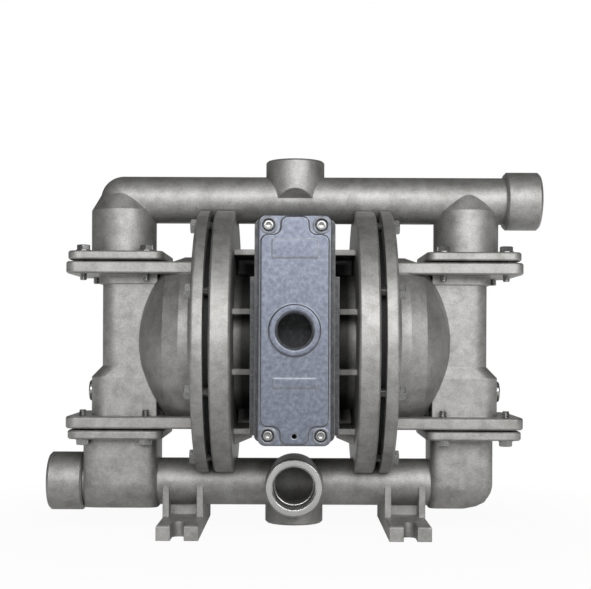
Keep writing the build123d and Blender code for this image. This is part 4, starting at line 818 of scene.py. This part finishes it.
class PUMP_OT_finishes(bpy.types.Operator):
    """Give every CAD node the finish of its slot"""

    bl_idname = "pump.finishes"
    bl_label = "Finishes"

    def execute(self, context):
        for slot_name, material in make_finishes().items():
            material["pump_slot"] = slot_name
        for part in frame["record"]["subparts"]:
            mesh = frame["nodes"][part["node"]].data
            mesh.materials.clear()
            mesh.materials.append(finish_for(NODE_FINISH.get(part["node"], part["material_slot"])))
        return {"FINISHED"}


class PUMP_OT_port_threads(bpy.types.Operator):
    """Cut the threads of the six ports"""

    bl_idname = "pump.port_threads"
    bl_label = "Port threads"

    def execute(self, context):
        threads = settings().threads
        material = finish_for("machined_steel")
        for name in (*PIPE_PORTS, "exhaust_port"):
            inner_thread(name.replace("port", "thread"), MOUNTS[name], threads.pipe_pitch, threads.crest, material)
        inner_thread("air_inlet_thread", MOUNTS["air_inlet_port"], threads.air_pitch, threads.crest, material)
        return {"FINISHED"}


class PUMP_OT_bolts(bpy.types.Operator):
    """Make the hexagon bolts of the manifolds and clamp flanges, and the plate's cap screws"""

    bl_idname = "pump.bolts"
    bl_label = "Bolts and screws"

    def execute(self, context):
        bolts = settings().fasteners
        material = finish_for("bright_fastener")
        joint_sizes = (
            bolts.joint_across, bolts.joint_head, bolts.joint_washer, bolts.joint_washer_radius, bolts.joint_shank
        )
        clamp_sizes = (bolts.clamp_across, bolts.clamp_head, 0.0, 0.0, bolts.clamp_shank)

        def joint_bolt(length, seat, axis):
            return bolt_surface(joint_sizes, length, bolts.joint_pitch, bolts.thread_depth, seat, axis)

        def clamp_bolt(length, seat, axis):
            return bolt_surface(clamp_sizes, length, bolts.clamp_pitch, bolts.thread_depth, seat, axis)

        def cap_screw(length, seat, axis):
            return socket_screw(
                bolts.cap_radius, bolts.cap_head, bolts.cap_socket, bolts.cap_depth, bolts.cap_shank,
                length, seat, axis,
            )

        joint_rise = bolts.joint_head + bolts.joint_washer
        detailed_fasteners("inlet_joint_bolts", 2, lambda middle: -1, joint_rise, joint_bolt, material)
        detailed_fasteners("discharge_joint_bolts", 2, lambda middle: 1, joint_rise, joint_bolt, material)
        for node in ("clamp_bolts_left", "clamp_bolts_right"):
            detailed_fasteners(
                node, 0, lambda middle: np.sign(middle[0]), bolts.clamp_head, clamp_bolt, material
            )
        detailed_fasteners("plate_screws", 1, lambda middle: -1, bolts.cap_head, cap_screw, material)
        return {"FINISHED"}


class PUMP_OT_casting(bpy.types.Operator):
    """Add the air chambers' webs, the bodies of the lower pipe's tee and elbow, and the domes' skins"""

    bl_idname = "pump.casting"
    bl_label = "Casting webs and bodies"

    def execute(self, context):
        casting = settings().casting
        material = finish_for("cast_steel")
        rear = casting.web_depth + casting.web_thickness
        for side, word in ((-1, "left"), (1, "right")):
            parts = []
            for low, high in WEB_SPANS:
                ends = sorted((side * casting.web_inner, side * casting.web_outer))
                parts.append(plate_between((ends[0], casting.web_depth, low), (ends[1], rear, high)))
            points, faces = joined(parts)
            mesh_piece("air_chamber_webs_" + word, points, faces, material, "housing", 30.0)
        tee = flow_body(
            casting.tee_place, casting.tee_half_width, casting.tee_half_depth,
            casting.body_bottom, casting.body_top, casting.body_turn, 0.0, -1,
        )
        elbow = flow_body(
            casting.elbow_place, casting.elbow_half_width, casting.elbow_half_depth,
            casting.body_bottom, casting.body_top, casting.body_turn, casting.elbow_corner, 1,
        )
        for name, (points, faces) in (("inlet_tee_body", tee), ("inlet_elbow_body", elbow)):
            mesh_piece(name, points, faces, material, "housing", 40.0)
        for name, side in (("chamber_dome_left", -1), ("chamber_dome_right", 1)):
            points, faces = dome_skin(
                casting.dome_centre, casting.dome_radius, casting.dome_skin, casting.dome_crease,
                casting.dome_height, side,
            )
            mesh_piece(name, points, faces, material, "housing", 40.0)
        return {"FINISHED"}


class PUMP_OT_stage(bpy.types.Operator):
    """Lay the floor, hang the lamps and set the camera"""

    bl_idname = "pump.stage"
    bl_label = "Studio"

    def execute(self, context):
        stage = settings().stage
        scene = context.scene
        scene.view_settings.view_transform = "Standard"
        lay_floor(stage)
        light_world(scene, stage)
        hang_lamp("front_softbox", *FRONT_SOFTBOX, stage.key_power)
        hang_lamp("high_softbox", *HIGH_SOFTBOX, stage.fill_power)
        lens = bpy.data.cameras.new("camera")
        lens.lens = stage.focal_length
        lens.sensor_width = 36.0
        lens.shift_x = stage.shift_x
        lens.shift_y = stage.shift_y
        camera = bpy.data.objects.new("camera", lens)
        camera.location = (
            stage.camera_distance * math.sin(stage.camera_yaw),
            -stage.camera_distance * math.cos(stage.camera_yaw),
            stage.camera_height,
        )
        camera.rotation_euler = (math.pi / 2, -stage.camera_roll, stage.camera_yaw)
        scene.collection.objects.link(camera)
        scene.camera = camera
        return {"FINISHED"}


def lay_floor(stage):
    """A plain pale floor: white far from the pump, and with the pump's shadow close to it."""
    material, tree = new_material("painted_studio_floor")
    paint = add_node(tree, "ShaderNodeBsdfDiffuse", Color=linear(stage.floor))
    glow = add_node(tree, "ShaderNodeEmission", Color=(1, 1, 1, 1), Strength=1.0)
    distance = add_node(tree, "ShaderNodeVectorMath", [(0, object_coordinates(tree))], operation="LENGTH")
    far = add_node(
        tree, "ShaderNodeMapRange", [("Value", distance.outputs["Value"])], interpolation_type="SMOOTHSTEP",
        From_Min=0.35 * stage.shadow_reach, From_Max=stage.shadow_reach,
    )
    path = add_node(tree, "ShaderNodeLightPath")
    open_floor = add_node(tree, "ShaderNodeMapRange", [("Value", far.outputs[0])], To_Min=FLOOR_NEAR_CAMERA)
    shaded_floor = add_node(tree, "ShaderNodeMapRange", [("Value", far.outputs[0])], To_Min=FLOOR_NEAR_MIRRORED)
    by_camera = math_node(tree, "MULTIPLY", path.outputs["Is Camera Ray"], open_floor.outputs[0])
    through = math_node(tree, "MULTIPLY", path.outputs["Is Transmission Ray"], open_floor.outputs[0])
    mirrored = math_node(tree, "MULTIPLY", path.outputs["Is Glossy Ray"], shaded_floor.outputs[0])
    share = math_node(tree, "ADD", math_node(tree, "ADD", by_camera, through), mirrored, clamp=True)
    mix = add_node(tree, "ShaderNodeMixShader", [(0, share), (1, paint.outputs[0]), (2, glow.outputs[0])])
    close_material(tree, mix)
    reach = FLOOR_HALF_WIDTH
    mesh = bpy.data.meshes.new("studio_floor")
    mesh.from_pydata(
        [(-reach, -reach, 0), (reach, -reach, 0), (reach, reach, 0), (-reach, reach, 0)], [], [(0, 1, 2, 3)]
    )
    mesh.materials.append(material)
    floor = bpy.data.objects.new("studio_floor", mesh)
    floor.location.z = CAD_BOUNDS[0][2] - FLOOR_DROP
    bpy.context.scene.collection.objects.link(floor)


def light_world(scene, stage):
    """White where the camera looks and where metal mirrors the backdrop behind the pump, else a dim grey."""
    world = bpy.data.worlds.new("studio")
    world.use_nodes = True
    tree = world.node_tree
    tree.nodes.clear()
    dim = add_node(tree, "ShaderNodeBackground", Color=(1, 1, 1, 1), Strength=stage.ambient)
    white = add_node(tree, "ShaderNodeBackground", Color=(1, 1, 1, 1), Strength=1.0)
    direction = add_node(tree, "ShaderNodeTexCoord").outputs["Generated"]
    split = add_node(tree, "ShaderNodeSeparateXYZ", [(0, direction)])
    behind = add_node(
        tree, "ShaderNodeMapRange", [("Value", split.outputs["Y"])], interpolation_type="SMOOTHSTEP",
        From_Min=math.cos(BACKDROP_CONE[0]), From_Max=math.cos(BACKDROP_CONE[1]),
    )
    path = add_node(tree, "ShaderNodeLightPath")
    mirrored = math_node(tree, "MULTIPLY", path.outputs["Is Glossy Ray"], behind.outputs["Result"])
    first = math_node(tree, "ADD", path.outputs["Is Camera Ray"], mirrored, clamp=True)
    share = math_node(tree, "ADD", first, path.outputs["Is Transmission Ray"], clamp=True)
    mix = add_node(tree, "ShaderNodeMixShader", [(0, share), (1, dim.outputs[0]), (2, white.outputs[0])])
    output = add_node(tree, "ShaderNodeOutputWorld")
    tree.links.new(mix.outputs[0], output.inputs["Surface"])
    scene.world = world


def hang_lamp(name, place, size, power):
    """A softbox of a width and height at a place, turned to the pump."""
    lamp = bpy.data.lights.new(name, "AREA")
    lamp.shape = "RECTANGLE"
    lamp.size, lamp.size_y = size
    lamp.energy = power
    lit = bpy.data.objects.new(name, lamp)
    lit.location = place
    aim = np.array(LAMP_TARGET) - np.array(place)
    lit.rotation_euler = (
        math.acos(-aim[2] / np.linalg.norm(aim)),
        0.0,
        math.atan2(-aim[0], aim[1]),
    )
    bpy.context.scene.collection.objects.link(lit)


class PUMP_PT_panel(bpy.types.Panel):
    """Lists the pump's operators"""

    bl_idname = "PUMP_PT_panel"
    bl_label = "Diaphragm pump"
    bl_space_type = "VIEW_3D"
    bl_region_type = "UI"
    bl_category = "Pump"

    def draw(self, context):
        for operator in OPERATORS:
            self.layout.operator(operator.bl_idname)


OPERATORS = (PUMP_OT_finishes, PUMP_OT_port_threads, PUMP_OT_bolts, PUMP_OT_casting, PUMP_OT_stage)
CLASSES = (
    PumpFinishes, PumpThreads, PumpFasteners, PumpCasting, PumpStage, PumpSettings, *OPERATORS, PUMP_PT_panel
)


def register():
    for cls in CLASSES:
        bpy.utils.register_class(cls)
    bpy.types.Scene.diaphragm_pump = bpy.props.PointerProperty(type=PumpSettings)


def unregister():
    del bpy.types.Scene.diaphragm_pump
    for cls in reversed(CLASSES):
        bpy.utils.unregister_class(cls)


def main():
    register()
    bpy.ops.pump.finishes()
    bpy.ops.pump.port_threads()
    bpy.ops.pump.bolts()
    bpy.ops.pump.casting()
    bpy.ops.pump.stage()


if __name__ == "__main__":
    main()
